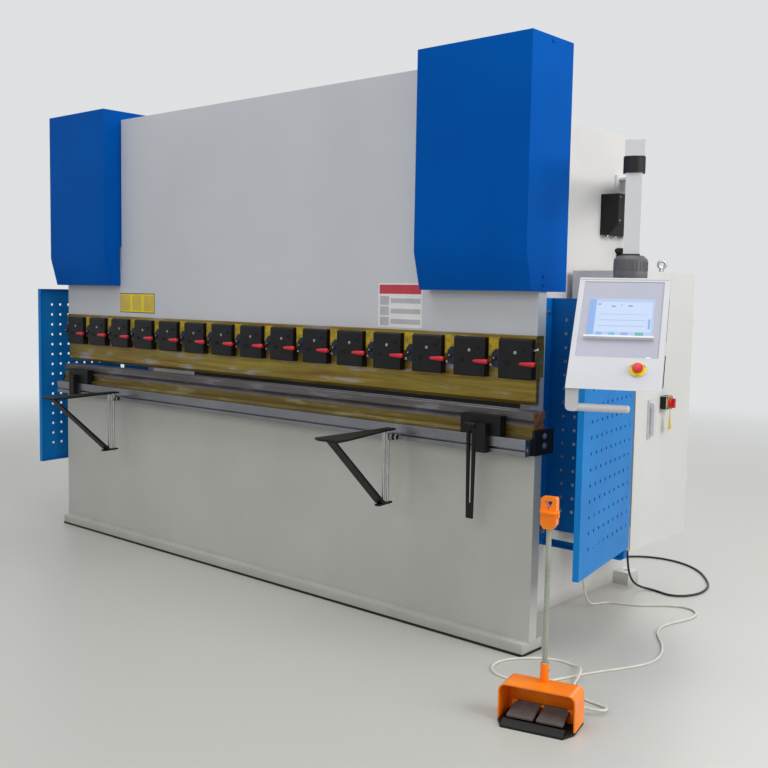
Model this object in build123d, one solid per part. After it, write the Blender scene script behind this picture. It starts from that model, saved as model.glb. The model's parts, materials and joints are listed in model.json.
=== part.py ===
from build123d import *
import os
from math import cos, pi, radians, sin, tan

# Press brake with two hydraulic cylinders, a touch-screen pendant and a foot pedal.
# Millimetres. X runs along the bending line, Y to the back, Z up from the floor.
# The origin lies on the floor under the middle of the bending line.

# Bed and table
table_length = 3200
table_depth = 180
table_thickness = 64
bed_height = 720
bed_thickness = 50
plinth_height = 50
plinth_inset = 7
plinth_front = 60
plinth_rear = 75
bed_rib_thickness = 20
bed_rib_depth = 110
bed_rib_height = 600
bed_rib_spacing = 850
bed_rib_count = 3
guide_slot_height = 8
guide_slot_depth = 10
guide_slot_head = 22
guide_slot_drop = 42
slide_clearance = 1

# Lower tooling
die_base_depth = 90
die_base_height = 18
die_size = 80
die_vee_opening = 24
die_vee_angle = 88
die_rear_vee_opening = 36

# Upper tooling
working_gap = 22
punch_length = 3180
punch_height = 156
punch_thickness = 28
punch_nose_angle = 86
punch_nose_width = 18
punch_relief = 5
tool_bar_height = 107
tool_bar_front = 24
tool_bar_rear = 30
tool_bar_lip = 50

# Ram
ram_length = 3184
ram_thickness = 55
ram_front = 18
ram_shoulder_height = 243
ram_height = 1045
ram_waist = 2128
ram_corner_radius = 30
tongue_width = 40
tongue_depth = 24
tongue_height = 80
tongue_offset = 6
guide_wall = 24
guide_depth = 37
guide_below = 22
guide_length = 230

# Side frames
frame_gap = 2564
frame_thickness = 50
frame_rear = 1210
frame_height = 2102
frame_rear_slope = 60
frame_rear_radius = 20
jaw_front = 75
jaw_bottom = 1250
throat_depth = 345
throat_radius = 80
cylinder_shelf = 1600
frame_setback = 130
foot_width = 80
foot_length = 100
foot_height = 60
anchor_hole_radius = 13
rear_beam_thickness = 50
rear_beam_bottom = 60
rear_beam_height = 340
rear_beam_back = 1150

# Cylinders
cylinder_axis_y = 10
cylinder_flange_height = 60
cylinder_flange_width = 260
cylinder_flange_front = 105
cylinder_radius = 105
cylinder_bore = 80
cylinder_length = 520
cylinder_head_height = 50
rod_radius = 65
piston_height = 80
piston_lift = 240
running_clearance = 0.05
port_radius = 22
port_height = 60

# Bolt heads
bolt_height = 7
cylinder_bolt_radius = 11
cylinder_bolt_inset = 18
sheet_bolt_radius = 8
sheet_bolt_inset = 60
end_bolt_radius = 9
end_bolt_drop = 24
end_bolt_pitch = 36

# Cylinder covers
sheet = 3
cover_inner_x = 1072
cover_end_gap = 7
cover_front = 122
cover_rear = 155
cover_bottom = 1382
cover_crease = 1530
cover_top = 2309
cover_chin = 39
cover_flange = 38

# Clamps on the tool bar
clamp_count = 15
clamp_width = 150
clamp_shift = 20
clamp_front = 48
clamp_height = 152
clamp_hook_height = 56
clamp_ear_length = 34
clamp_ear_height = 71
clamp_ear_drop = 77
lever_radius = 10
lever_length = 70
lever_start = 8
lever_stand = 14
lever_drop = 92
lever_shank_radius = 6

# Front supports
support_x_left = -945
support_x_right = 985
support_angle = 8
support_arm_length = 430
support_arm_root = 44
support_arm_tip = 124
support_plate = 8
support_top_drop = 10
support_post_radius = 7
support_post_gap = 30
support_post_stand = 65
support_post_length = 292
support_foot = 8
support_strip_width = 40
support_strip_thickness = 8
support_strip_reach = 0.9
carriage_width = 44
carriage_height = 30
knob_radius = 13
knob_length = 26

# Stop brackets on the table
stop_x = 1390
stop_block_length = 187
stop_block_height = 78
stop_block_depth = 38
stop_plate_width = 46
stop_plate_depth = 26
stop_plate_height = 112
stop_pin_radius = 6
stop_pin_up = 36
stop_knuckle_radius = 12
stop_arm_width = 42
stop_arm_taper = 30
stop_arm_thickness = 10
stop_arm_length = 362
stop_slot_width = 12
stop_slot_start = 22
stop_slot_length = 280
end_plate_thickness = 12
end_plate_depth = 130
end_plate_height = 95

# Guards
guard_bottom = 300
guard_top = 1358
guard_sheet = 2
guard_lip = 25
wing_y = 490
wing_flange = 45
wing_window_bottom = 326
wing_window_top = 367
wing_window_inset = 12
hinge_x_right = 1724
hinge_x_left = 1800
door_length = 623
door_bottom = 356
hole_pitch = 58
hole_size = 15
hole_rows = 15
hole_first_z = 456
door_hole_columns = 9
door_hole_margin = 95
wing_hole_start = 75
wing_column_pitch = 53.5
hinge_pin_radius = 5
hinge_radius = 9
hinge_knuckle = 50
hinge_inset = 90
door_rest_right = 11.6
door_rest_left = 7.1

# Electrical cabinet
cabinet_stand = 30
cabinet_depth = 318
cabinet_front = 600
cabinet_length = 510
cabinet_bottom = 310
cabinet_height = 1167
cabinet_door_depth = 20
cabinet_door_gap = 2
cabinet_hinge_radius = 7
cabinet_pin_radius = 3.5
handle_y = 723
handle_z = 915
handle_length = 130
handle_width = 22
handle_plate_width = 30
handle_plate_height = 165
main_switch_y = 845
main_switch_z = 919
main_switch_size = 58
main_switch_depth = 32
main_switch_knob_depth = 13
main_switch_radius = 21
eye_y = 778
eye_radius = 20
eye_wire = 5

# Switch box on the right frame
switch_box_y = 868
switch_box_length = 208
switch_box_gap = 6
switch_box_height = 181
switch_box_depth = 90

# Pendant
pole_x = 1967
pole_y = -28
arm_reach = 1209
arm_direction = 117.98
arm_tube = 54
arm_bottom = 1843
arm_pivot_radius = 15
arm_knuckle_radius = 36
arm_ear = 12
elbow_size = 66
ring_radius = 37
ring_bottom = 1787
collar_top = 1508
collar_radius = 57
console_top = 1431
console_yaw = 23
console_shift = -12
console_tilt = 38
console_width = 300
console_face = 455
console_setback = 62
console_shelf = 64
console_shelf_height = 32
console_thickness = 60
swivel_radius = 20
swivel_depth = 24
bezel_width = 264
bezel_bottom = 126
bezel_top = 438
bezel_recess = 3
screen_width = 211
screen_height = 158
screen_bottom = 206
screen_thickness = 2
ledge_width = 222
ledge_out = 12
ledge_thickness = 7
estop_u = 72
estop_v = 80
estop_radius = 17
estop_plate_radius = 27
estop_height = 12
estop_gap = 6
estop_stem = 8
estop_bore_depth = 26
grip_radius = 13
grip_drop = 62
grip_length = 205
grip_post = 40

# Foot pedal
pedal_x = 1979
pedal_y = -561
pedal_yaw = 15
hood_width = 254
hood_height = 125
hood_depth = 104
hood_wall = 4
hood_radius = 25
pedal_base = 8
pedal_base_front = 47
pedal_base_width = 204
ramp_height = 22
ramp_depth = 27
tread_width = 69
tread_middle = 49
tread_thickness = 10
tread_front = 15
tread_length = 90
tread_height = 43
tread_slope = 9
tread_pin_radius = 4
pole_radius = 11.5
pole_back = 80
pole_socket_radius = 14
pole_socket_height = 62
pole_height = 440
head_width = 52
head_depth = 30
head_height = 103
head_neck = 30
head_corner = 16
head_radius = 8
head_ring = 32
head_ring_height = 7
head_ring_lift = 52
head_hole_width = 28
head_hole_height = 28
head_hole_lift = 63
head_button_radius = 8
head_button_length = 5
pedal_gland_x = 92
pedal_gland_z = 26

# Hydraulics on top
tank_front = 420
tank_depth = 480
tank_bottom = 1640
tank_height = 412
tank_wall = 6
tank_lid = 8
filler_x = -770
filler_radius = 35
filler_height = 70
motor_radius = 95
motor_length = 330
motor_x = -280
motor_y = 660
motor_feet = 24
cowl_length = 66
cowl_radius = 86
terminal_box = 110
terminal_box_height = 133
pump_width = 96
pump_height = 120
pump_length = 170
coupling_radius = 70
coupling_length = 60
valve_x = 460
valve_width = 190
valve_depth = 150
valve_height = 120
solenoid_count = 3
solenoid_depth = 120
pipe_radius = 12

# Back gauge
carrier_width = 60
carrier_front = 330
carrier_length = 590
carrier_bottom = 770
carrier_height = 26
gauge_beam_y = 560
gauge_beam_depth = 80
gauge_beam_height = 80
gauge_beam_lift = 30
screw_radius = 10
screw_lift = 42
screw_inset = 82
belt_wheel_radius = 25
nut_width = 48
bearing_length = 22
finger_width = 46
finger_reach = 262
finger_thickness = 22
finger_x = 560
finger_grip = 6
finger_gap = 0.3

# Cables
pedal_cable_radius = 4.5
power_cable_radius = 5
bend_share = 0.45
gland_radius = 11
gland_length = 20

# Heights worked out from the sizes above
bed_top = plinth_height + bed_height
table_top = bed_top + table_thickness
die_base_top = table_top + die_base_height
die_top = die_base_top + die_size
punch_tip = die_top + working_gap
tool_bar_bottom = punch_tip + punch_height
ram_bottom = tool_bar_bottom + tool_bar_height
ram_shoulder = ram_bottom + ram_shoulder_height
ram_top = ram_bottom + ram_height
ram_rear = ram_thickness - ram_front
slot_z = table_top - guide_slot_drop

# Places worked out from the sizes above
table_end = table_length / 2
table_front = -table_depth / 2
frame_inner = frame_gap / 2
frame_outer = frame_inner + frame_thickness
frame_middle = frame_inner + frame_thickness / 2
ram_end = ram_length / 2
cover_outer_x = ram_end + cover_end_gap + sheet
clamp_pitch = table_length / clamp_count
clamp_bottom = tool_bar_bottom - clamp_hook_height - 2 * slide_clearance
cylinder_bottom = cylinder_shelf + cylinder_flange_height
cylinder_top = cylinder_bottom + cylinder_length
piston_bottom = ram_shoulder + piston_lift
cabinet_inner = frame_outer + cabinet_stand
cabinet_outer = cabinet_inner + cabinet_depth
cabinet_body_outer = cabinet_outer - cabinet_door_depth - cabinet_door_gap
cabinet_rear = cabinet_front + cabinet_length
cabinet_top = cabinet_bottom + cabinet_height


# Building blocks

def brick(x_low, x_high, y_low, y_high, z_low, z_high):
    """Rectangular block between its limits."""
    size = (x_high - x_low, y_high - y_low, z_high - z_low)
    middle = ((x_low + x_high) / 2, (y_low + y_high) / 2, (z_low + z_high) / 2)
    return Pos(*middle) * Box(*size)


def outline(points, radii=None):
    """Closed flat outline, with one rounding radius for each point if given."""
    if radii is None:
        return make_face(Polyline(*points, close=True).edges())
    return make_face(FilletPolyline(*points, radius=radii, close=True).edges())


def along_x(points, x_low, x_high, radii=None):
    """Side outline of (y, z) points, as long as the span in X."""
    return extrude(Plane.YZ.offset(x_low) * outline(points, radii), amount=x_high - x_low)


def along_y(points, y_low, y_high, radii=None):
    """Front outline of (x, z) points, as deep as the span in Y."""
    return extrude(Plane.XZ.offset(-y_high) * outline(points, radii), amount=y_high - y_low)


def along_z(points, z_low, z_high, radii=None):
    """Plan outline of (x, y) points, as high as the span in Z."""
    return extrude(Plane.XY.offset(z_low) * outline(points, radii), amount=z_high - z_low)


def bar(start, end, radius):
    """Round bar between two points."""
    axis = Vector(*end) - Vector(*start)
    seat = (Align.CENTER, Align.CENTER, Align.MIN)
    return Plane(origin=start, z_dir=axis) * Cylinder(radius, axis.length, align=seat)


def tube(start, end, outer, bore):
    """Round bar with a bore right through it."""
    return bar(start, end, outer) - bar(start, end, bore)


def hex_bolt(point, direction, radius):
    """Bolt head seated on a face at the point."""
    head = Plane(origin=point, z_dir=direction) * RegularPolygon(radius, 6)
    return extrude(head, amount=bolt_height)


def left_of(part):
    """The same part on the left-hand side of the machine."""
    return mirror(part, Plane.YZ)


# Bed, table and lower tooling

def bed():
    """Front plate of the welded frame on its plinth, stiffened behind."""
    half_plinth = table_end - plinth_inset
    half = bed_thickness / 2
    plate = brick(-table_end, table_end, -half, half, plinth_height, bed_top)
    plinth = brick(-half_plinth, half_plinth, -plinth_front, plinth_rear, 0, plinth_height)
    body = plate + plinth
    rib = [
        (half, plinth_height),
        (plinth_rear, plinth_height),
        (half + bed_rib_depth, plinth_height + bed_rib_height / 3),
        (half + bed_rib_depth, plinth_height + bed_rib_height),
        (half, plinth_height + bed_rib_height),
    ]
    for index in range(bed_rib_count):
        x = (index - (bed_rib_count - 1) / 2) * bed_rib_spacing
        body += along_x(rib, x - bed_rib_thickness / 2, x + bed_rib_thickness / 2)
    return [body]


def worktable():
    """Ground rail on the bed, with a T-shaped guide slot along its front."""
    neck = guide_slot_height / 2
    head = guide_slot_head / 2
    inner = table_front + guide_slot_depth
    deep = inner + guide_slot_depth
    profile = [
        (table_front, bed_top),
        (-table_front, bed_top),
        (-table_front, table_top),
        (table_front, table_top),
        (table_front, slot_z + neck),
        (inner, slot_z + neck),
        (inner, slot_z + head),
        (deep, slot_z + head),
        (deep, slot_z - head),
        (inner, slot_z - head),
        (inner, slot_z - neck),
        (table_front, slot_z - neck),
    ]
    return [along_x(profile, -table_end, table_end)]


def die_base():
    """Flat bar that the die stands on."""
    half = die_base_depth / 2
    return [brick(-table_end, table_end, -half, half, table_top, die_base_top)]


def vee(opening, angle):
    """Depth of a groove from its opening and angle."""
    return opening / 2 / tan(radians(angle / 2))


def die():
    """Square four-way die: a narrow groove on top and wider ones on the sides and below."""
    half = die_size / 2
    middle = die_base_top + half
    top = vee(die_vee_opening, die_vee_angle)
    side = vee(die_rear_vee_opening, die_vee_angle)
    narrow = die_vee_opening / 2
    wide = die_rear_vee_opening / 2
    profile = [
        (-half, die_base_top),
        (-wide, die_base_top),
        (0, die_base_top + side),
        (wide, die_base_top),
        (half, die_base_top),
        (half, middle - wide),
        (half - side, middle),
        (half, middle + wide),
        (half, die_top),
        (narrow, die_top),
        (0, die_top - top),
        (-narrow, die_top),
        (-half, die_top),
        (-half, middle + narrow),
        (-half + top, middle),
        (-half, middle - narrow),
    ]
    return [along_x(profile, -table_end, table_end)]


# Side frames and what joins them

def side_frame():
    """Right C-shaped frame with the deep throat, standing on a foot at the back."""
    bed_rear = bed_thickness / 2
    corners = [
        (plinth_rear, 0, 0),
        (plinth_rear, plinth_height, 0),
        (bed_rear, plinth_height, 0),
        (bed_rear, bed_top, 0),
        (throat_depth, bed_top, throat_radius),
        (throat_depth, jaw_bottom, throat_radius),
        (jaw_front, jaw_bottom, 0),
        (jaw_front, cylinder_shelf, 0),
        (frame_setback, cylinder_shelf, 0),
        (frame_setback, frame_height, 0),
        (frame_rear - frame_rear_slope, frame_height, frame_rear_radius),
        (frame_rear, frame_height - frame_rear_slope, frame_rear_radius),
        (frame_rear, 0, 0),
    ]
    points = [(y, z) for y, z, _ in corners]
    plate = along_x(points, frame_inner, frame_outer, [radius for _, _, radius in corners])
    foot = brick(
        frame_outer, frame_outer + foot_width,
        frame_rear - foot_length, frame_rear,
        0, foot_height,
    )
    hole_x = frame_outer + foot_width / 2
    hole_y = frame_rear - foot_length / 2
    hole = bar((hole_x, hole_y, 0), (hole_x, hole_y, foot_height), anchor_hole_radius)
    return [plate + foot - hole]


def rear_beam():
    """Deep flat beam that ties the frames together low at the back."""
    front = rear_beam_back - rear_beam_thickness
    top = rear_beam_bottom + rear_beam_height
    return [brick(-frame_inner, frame_inner, front, rear_beam_back, rear_beam_bottom, top)]


# Ram, guides and upper tooling

def ram():
    """Moving beam: wide at the bottom, narrower between the cylinder covers."""
    waist = ram_waist / 2
    corners = [
        (-ram_end, ram_bottom, 0),
        (ram_end, ram_bottom, 0),
        (ram_end, ram_shoulder, 0),
        (waist, ram_shoulder, ram_corner_radius),
        (waist, ram_top, 0),
        (-waist, ram_top, 0),
        (-waist, ram_shoulder, ram_corner_radius),
        (-ram_end, ram_shoulder, 0),
    ]
    points = [(x, z) for x, z, _ in corners]
    body = along_y(points, -ram_front, ram_rear, [radius for _, _, radius in corners])
    tongue_bottom = ram_bottom + tongue_offset
    tongue = brick(
        frame_middle - tongue_width / 2, frame_middle + tongue_width / 2,
        ram_rear, ram_rear + tongue_depth,
        tongue_bottom, tongue_bottom + tongue_height,
    )
    return [body + tongue + left_of(tongue)]


def ram_guides():
    """Channels on the frame fronts, in which the ram's tongues slide."""
    slot = tongue_width / 2 + slide_clearance
    half = slot + guide_wall
    front = jaw_front - guide_depth
    slot_back = ram_rear + tongue_depth + slide_clearance
    low = ram_bottom - guide_below
    channel = brick(frame_middle - half, frame_middle + half, front, jaw_front, low, low + guide_length)
    channel -= brick(frame_middle - slot, frame_middle + slot, front, slot_back, low, low + guide_length)
    return [channel, left_of(channel)]


def tool_bar():
    """Bar under the ram with a lip behind the punch."""
    lip_front = punch_thickness / 2
    profile = [
        (-tool_bar_front, tool_bar_bottom),
        (lip_front, tool_bar_bottom),
        (lip_front, tool_bar_bottom - tool_bar_lip),
        (tool_bar_rear, tool_bar_bottom - tool_bar_lip),
        (tool_bar_rear, ram_bottom),
        (-tool_bar_front, ram_bottom),
    ]
    return [along_x(profile, -ram_end, ram_end)]


def punch():
    """Straight punch with a sharp nose and a relieved back."""
    half = punch_thickness / 2
    nose = punch_nose_width / 2
    slope = tan(radians(90 - punch_nose_angle / 2))
    relief_top = tool_bar_bottom - tool_bar_lip - punch_relief
    profile = [
        (0, punch_tip),
        (nose, punch_tip + nose * slope),
        (nose, relief_top - half),
        (half, relief_top),
        (half, tool_bar_bottom),
        (-half, tool_bar_bottom),
        (-half, punch_tip + half * slope),
    ]
    return [along_x(profile, -punch_length / 2, punch_length / 2)]


def clamp_places():
    """Middle of each clamp along the tool bar."""
    first = -(clamp_count - 1) / 2
    return [(first + index) * clamp_pitch + clamp_shift for index in range(clamp_count)]


def clamp_blocks():
    """Clamp blocks that press the punch against the lip, each with an ear on its left."""
    hook_back = -punch_thickness / 2
    hook_top = clamp_bottom + clamp_hook_height
    top = clamp_bottom + clamp_height
    profile = [
        (-clamp_front, clamp_bottom),
        (hook_back, clamp_bottom),
        (hook_back, hook_top),
        (-tool_bar_front, hook_top),
        (-tool_bar_front, top),
        (-clamp_front, top),
    ]
    ear_middle = top - clamp_ear_drop
    reach = clamp_ear_length
    rise = clamp_ear_height / 2
    blocks = []
    for x in clamp_places():
        left = x - clamp_width / 2
        block = along_x(profile, left, x + clamp_width / 2)
        ear = [
            (left, ear_middle - rise),
            (left, ear_middle + rise),
            (left - reach / 2, ear_middle + rise),
            (left - reach, ear_middle + rise / 2),
            (left - reach, ear_middle - rise / 2),
        ]
        block += along_y(ear, -clamp_front + 2 * slide_clearance, -tool_bar_front)
        blocks.append(block)
    return blocks


def clamp_levers():
    """Capsule grips that lie flat in front of the clamps, each on a short shank."""
    z = clamp_bottom + clamp_height - lever_drop
    y = -clamp_front - lever_stand
    levers = []
    for x in clamp_places():
        start = x + lever_start
        grip = bar((start, y, z), (start + lever_length, y, z), lever_radius)
        grip = chamfer(grip.edges().filter_by(GeomType.CIRCLE), lever_radius / 2)
        shank_x = start + lever_radius
        levers.append(grip + bar((shank_x, -clamp_front, z), (shank_x, y, z), lever_shank_radius))
    return levers


# Cylinders and their covers

def cylinder():
    """Right cylinder: flanged barrel on the frame's shelf and a head with its port."""
    x = frame_middle
    y = cylinder_axis_y
    half = cylinder_flange_width / 2
    flange = brick(
        x - half, x + half, y - cylinder_flange_front, frame_setback,
        cylinder_shelf, cylinder_bottom,
    )
    body = flange + bar((x, y, cylinder_bottom), (x, y, cylinder_top), cylinder_radius)
    body -= bar((x, y, cylinder_bottom), (x, y, cylinder_top), cylinder_bore)
    body -= bar((x, y, cylinder_shelf), (x, y, cylinder_bottom), rod_radius + running_clearance)
    head_top = cylinder_top + cylinder_head_height
    head = bar((x, y, cylinder_top), (x, y, head_top), cylinder_radius)
    head += bar((x, y, head_top), (x, y, head_top + port_height), port_radius)
    return [body, head]


def piston_rods():
    """Rods with their pistons, standing on the ram's shoulders."""
    x = frame_middle
    y = cylinder_axis_y
    rod = bar((x, y, ram_shoulder), (x, y, piston_bottom), rod_radius)
    piston_top = piston_bottom + piston_height
    rod += bar((x, y, piston_bottom), (x, y, piston_top), cylinder_bore - running_clearance)
    return [rod, left_of(rod)]


def cylinder_cover():
    """Folded sheet box over the right cylinder, open below, with a chin that slopes back."""
    chin = -cover_front + cover_chin
    outer = [
        (chin, cover_bottom),
        (-cover_front, cover_crease),
        (-cover_front, cover_top),
        (cover_rear, cover_top),
        (cover_rear, cover_bottom),
    ]
    inner = [
        (chin + sheet, cover_bottom),
        (-cover_front + sheet, cover_crease),
        (-cover_front + sheet, cover_top - sheet),
        (cover_rear - sheet, cover_top - sheet),
        (cover_rear - sheet, cover_bottom),
    ]
    shell = along_x(outer, cover_inner_x, cover_outer_x)
    shell -= along_x(inner, cover_inner_x + sheet, cover_outer_x - sheet)
    frame_side = frame_outer + sheet
    shell -= brick(
        cover_inner_x + sheet, frame_side, cover_rear - sheet, cover_rear,
        cover_bottom, cover_top - sheet,
    )
    ram_gap = cover_end_gap + sheet
    shell -= brick(
        cover_inner_x, cover_inner_x + sheet, -ram_front - sheet, cover_rear,
        cover_bottom, cylinder_shelf,
    )
    shell -= brick(
        cover_inner_x, cover_inner_x + sheet, cover_rear - ram_gap, cover_rear,
        cylinder_shelf, cover_top - sheet,
    )
    flange = brick(
        frame_outer, frame_side, cover_rear - sheet, cover_rear + cover_flange,
        cover_bottom, frame_height,
    )
    return [shell + flange]


def fixing_bolts():
    """Heads of the bolts that hold the cylinders, the guards, the cabinet and the table ends."""
    bolts = []
    inset = cylinder_bolt_inset
    reach = cylinder_flange_width / 2 - inset
    front = cylinder_axis_y - cylinder_flange_front
    for x in (frame_middle - reach, frame_middle + reach):
        for z in (cylinder_shelf + inset, cylinder_bottom - inset):
            bolts.append(hex_bolt((x, front, z), (0, -1, 0), cylinder_bolt_radius))
    outwards = (1, 0, 0)
    inset = sheet_bolt_inset
    for z in (guard_bottom + inset, guard_top - inset):
        place = (frame_outer + guard_sheet, wing_y - wing_flange / 2, z)
        bolts.append(hex_bolt(place, outwards, sheet_bolt_radius))
    for z in (cover_crease + inset, frame_height - inset):
        place = (frame_outer + sheet, cover_rear + cover_flange / 2, z)
        bolts.append(hex_bolt(place, outwards, sheet_bolt_radius))
    plate_middle = table_front / 2 + end_plate_depth / 2
    high = bed_top + end_plate_height - end_bolt_drop
    for z in (high, high - end_bolt_pitch):
        place = (table_end + end_plate_thickness, plate_middle, z)
        bolts.append(hex_bolt(place, outwards, end_bolt_radius))
    return bolts + [left_of(bolt) for bolt in bolts]


# Front supports

def support_post_y():
    """Front and rear post of a front support."""
    rear = table_front - support_post_stand
    return rear - support_post_gap, rear


def support_carriage(x):
    """Bracket that runs in the table's slot and clamps the two posts, with its black knob."""
    front_post, rear_post = support_post_y()
    half = carriage_width / 2
    front = front_post - 2 * support_post_radius
    low = slot_z - carriage_height / 2
    high = slot_z + carriage_height / 2
    body = brick(x - half, x + half, front, table_front, low, high)
    neck = guide_slot_height / 2 - slide_clearance
    head = guide_slot_head / 2 - slide_clearance
    inner = table_front + guide_slot_depth + slide_clearance
    deep = table_front + 2 * guide_slot_depth - slide_clearance
    body += brick(x - half, x + half, table_front, inner, slot_z - neck, slot_z + neck)
    body += brick(x - half, x + half, inner, deep, slot_z - head, slot_z + head)
    bore = support_post_radius + running_clearance
    body -= bar((x, rear_post, low), (x, rear_post, high), bore)
    swing_room = support_post_gap + 3 * support_post_radius
    body -= along_z(
        [
            (x - swing_room, front),
            (x + swing_room, front),
            (x + half, rear_post - 2 * support_post_radius),
            (x - half, rear_post - 2 * support_post_radius),
        ],
        low, high,
    )
    knob = bar((x + half, rear_post, slot_z), (x + half + knob_length, rear_post, slot_z), knob_radius)
    return [body, knob]


def support_arm(x):
    """Arm with a flat top that widens to its tip, two posts, a foot and a slanting strip."""
    front_post, rear_post = support_post_y()
    top = table_top - support_top_drop
    under = top - support_plate
    foot_top = under - support_post_length
    foot_low = foot_top - support_foot
    tip = -support_arm_length
    root = support_arm_root / 2
    wide = support_arm_tip / 2
    plate = along_z(
        [
            (-root, root),
            (-root, -2 * root),
            (-wide, tip + root),
            (-wide / 2, tip),
            (wide, tip),
            (wide, tip + wide),
            (root, -2 * root),
            (root, root),
        ],
        under, top,
    )
    front = front_post - rear_post
    radius = support_post_radius
    posts = [bar((0, y, foot_top), (0, y, under), radius) for y in (0, front)]
    foot = brick(-root / 2, root / 2, front - 2 * root, root, foot_low, foot_top)
    foot += bar((0, 0, foot_low - radius), (0, 0, foot_low), radius)
    strip_y = -support_arm_length * support_strip_reach
    strip_start = front - 2 * radius
    half_strip = support_strip_thickness / 2
    strip = along_x(
        [
            (strip_start, foot_top),
            (strip_start, foot_top + 2 * half_strip),
            (strip_y, under),
            (strip_y - 3 * half_strip, under),
            (strip_start - 3 * half_strip, foot_top),
        ],
        -support_strip_width / 2, support_strip_width / 2,
    )
    place = Pos(x, rear_post, 0) * Rot(0, 0, support_angle)
    return [place * piece for piece in (plate, *posts, foot, strip)]


# Stop brackets, table ends and the hanging stop arm

def stop_pin_place():
    """Height and depth of the stop arm's pin."""
    return table_front - stop_plate_depth / 2 - slide_clearance * 4, table_top + stop_pin_up


def stop_bracket():
    """Right bracket: a block on the table's front ledge and a plate down its face."""
    half = stop_block_length / 2
    back = -die_base_depth / 2 - 4 * slide_clearance
    block = brick(
        stop_x - half, stop_x + half, back - stop_block_depth, back,
        table_top, table_top + stop_block_height,
    )
    plate = brick(
        stop_x, stop_x + stop_plate_width, table_front - stop_plate_depth, table_front,
        bed_top, bed_top + stop_plate_height,
    )
    return block + plate + brick(
        stop_x, stop_x + stop_plate_width, table_front, back,
        table_top, bed_top + stop_plate_height,
    )


def stop_brackets():
    """Both brackets, the right one's pin, and the plates on the table's ends."""
    right = stop_bracket()
    pin_y, pin_z = stop_pin_place()
    left_end = stop_x - stop_arm_width - 8 * slide_clearance
    head_end = left_end - stop_pin_radius
    pin = bar((left_end, pin_y, pin_z), (stop_x, pin_y, pin_z), stop_pin_radius)
    pin += bar((head_end, pin_y, pin_z), (left_end, pin_y, pin_z), stop_pin_radius * 1.5)
    end_plate = brick(
        table_end, table_end + end_plate_thickness,
        table_front / 2, table_front / 2 + end_plate_depth,
        bed_top, bed_top + end_plate_height,
    )
    return [right + pin, left_of(right), end_plate, left_of(end_plate)]


def stop_arm():
    """Slotted bar that hangs from the right bracket's pin and swings up to the front."""
    pin_y, pin_z = stop_pin_place()
    right = stop_x - 4 * slide_clearance
    left = right - stop_arm_width
    middle = (left + right) / 2
    low = pin_z - stop_arm_length
    half = stop_arm_thickness / 2
    narrow = stop_arm_taper / 2
    slot_top = pin_z - stop_slot_start
    blade = along_y(
        [
            (left, pin_z),
            (left, slot_top),
            (middle - narrow, low),
            (middle + narrow, low),
            (right, slot_top),
            (right, pin_z),
        ],
        pin_y - half, pin_y + half,
    )
    slot_half = stop_slot_width / 2
    blade -= brick(
        middle - slot_half, middle + slot_half, pin_y - half, pin_y + half,
        slot_top - stop_slot_length, slot_top,
    )
    blade += bar((left, pin_y, pin_z), (right, pin_y, pin_z), stop_knuckle_radius)
    bore = stop_pin_radius + running_clearance
    return [blade - bar((left, pin_y, pin_z), (right, pin_y, pin_z), bore)]


# Side guards

def perforated(width, height, columns, column_pitch, first_u, first_v):
    """Flat panel from its lower left corner, with a regular grid of holes."""
    panel = Pos(width / 2, height / 2) * Rectangle(width, height)
    span_u = (columns - 1) * column_pitch / 2
    span_v = (hole_rows - 1) * hole_pitch / 2
    grid = GridLocations(column_pitch, hole_pitch, columns, hole_rows)
    places = Pos(first_u + span_u, first_v + span_v) * grid.locations
    return panel - [place * Rectangle(hole_size, hole_size) for place in places]


def hinge_heights():
    """Where the door's knuckles sit on their pintles."""
    low = guard_bottom + hinge_inset
    high = guard_top - hinge_inset - hinge_knuckle
    return low, high


def guard_wing(hinge_x):
    """Fixed right panel from the frame out to the door's hinge, with a long window near its foot."""
    outer = hinge_x - 1.5 * hinge_radius
    width = outer - frame_outer
    columns = int((width - wing_hole_start - 2 * hole_size) / wing_column_pitch) + 1
    face = perforated(
        width, guard_top - guard_bottom, columns, wing_column_pitch,
        wing_hole_start, hole_first_z - guard_bottom,
    )
    plane = Plane(origin=(frame_outer, wing_y, guard_bottom), x_dir=(1, 0, 0), z_dir=(0, -1, 0))
    wing = extrude(plane * face, amount=guard_sheet)
    front = wing_y - guard_sheet
    wing -= brick(
        frame_outer + wing_window_inset, outer - wing_window_inset, front, wing_y,
        wing_window_bottom, wing_window_top,
    )
    inner = frame_outer + guard_sheet
    wing += brick(frame_outer, inner, wing_y - wing_flange, front, guard_bottom, guard_top)
    wing += brick(outer - guard_sheet, outer, wing_y, wing_y + guard_lip, guard_bottom, guard_top)
    wing += brick(
        inner, outer, front - guard_lip, front,
        guard_bottom, guard_bottom + guard_sheet,
    )
    for z in hinge_heights():
        wing += brick(outer, hinge_x, front - guard_sheet, wing_y + guard_sheet, z - hinge_knuckle, z)
        wing += bar((hinge_x, wing_y, z - hinge_knuckle), (hinge_x, wing_y, z), hinge_radius)
        wing += bar((hinge_x, wing_y, z), (hinge_x, wing_y, z + hinge_knuckle), hinge_pin_radius)
    return [wing]


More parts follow.
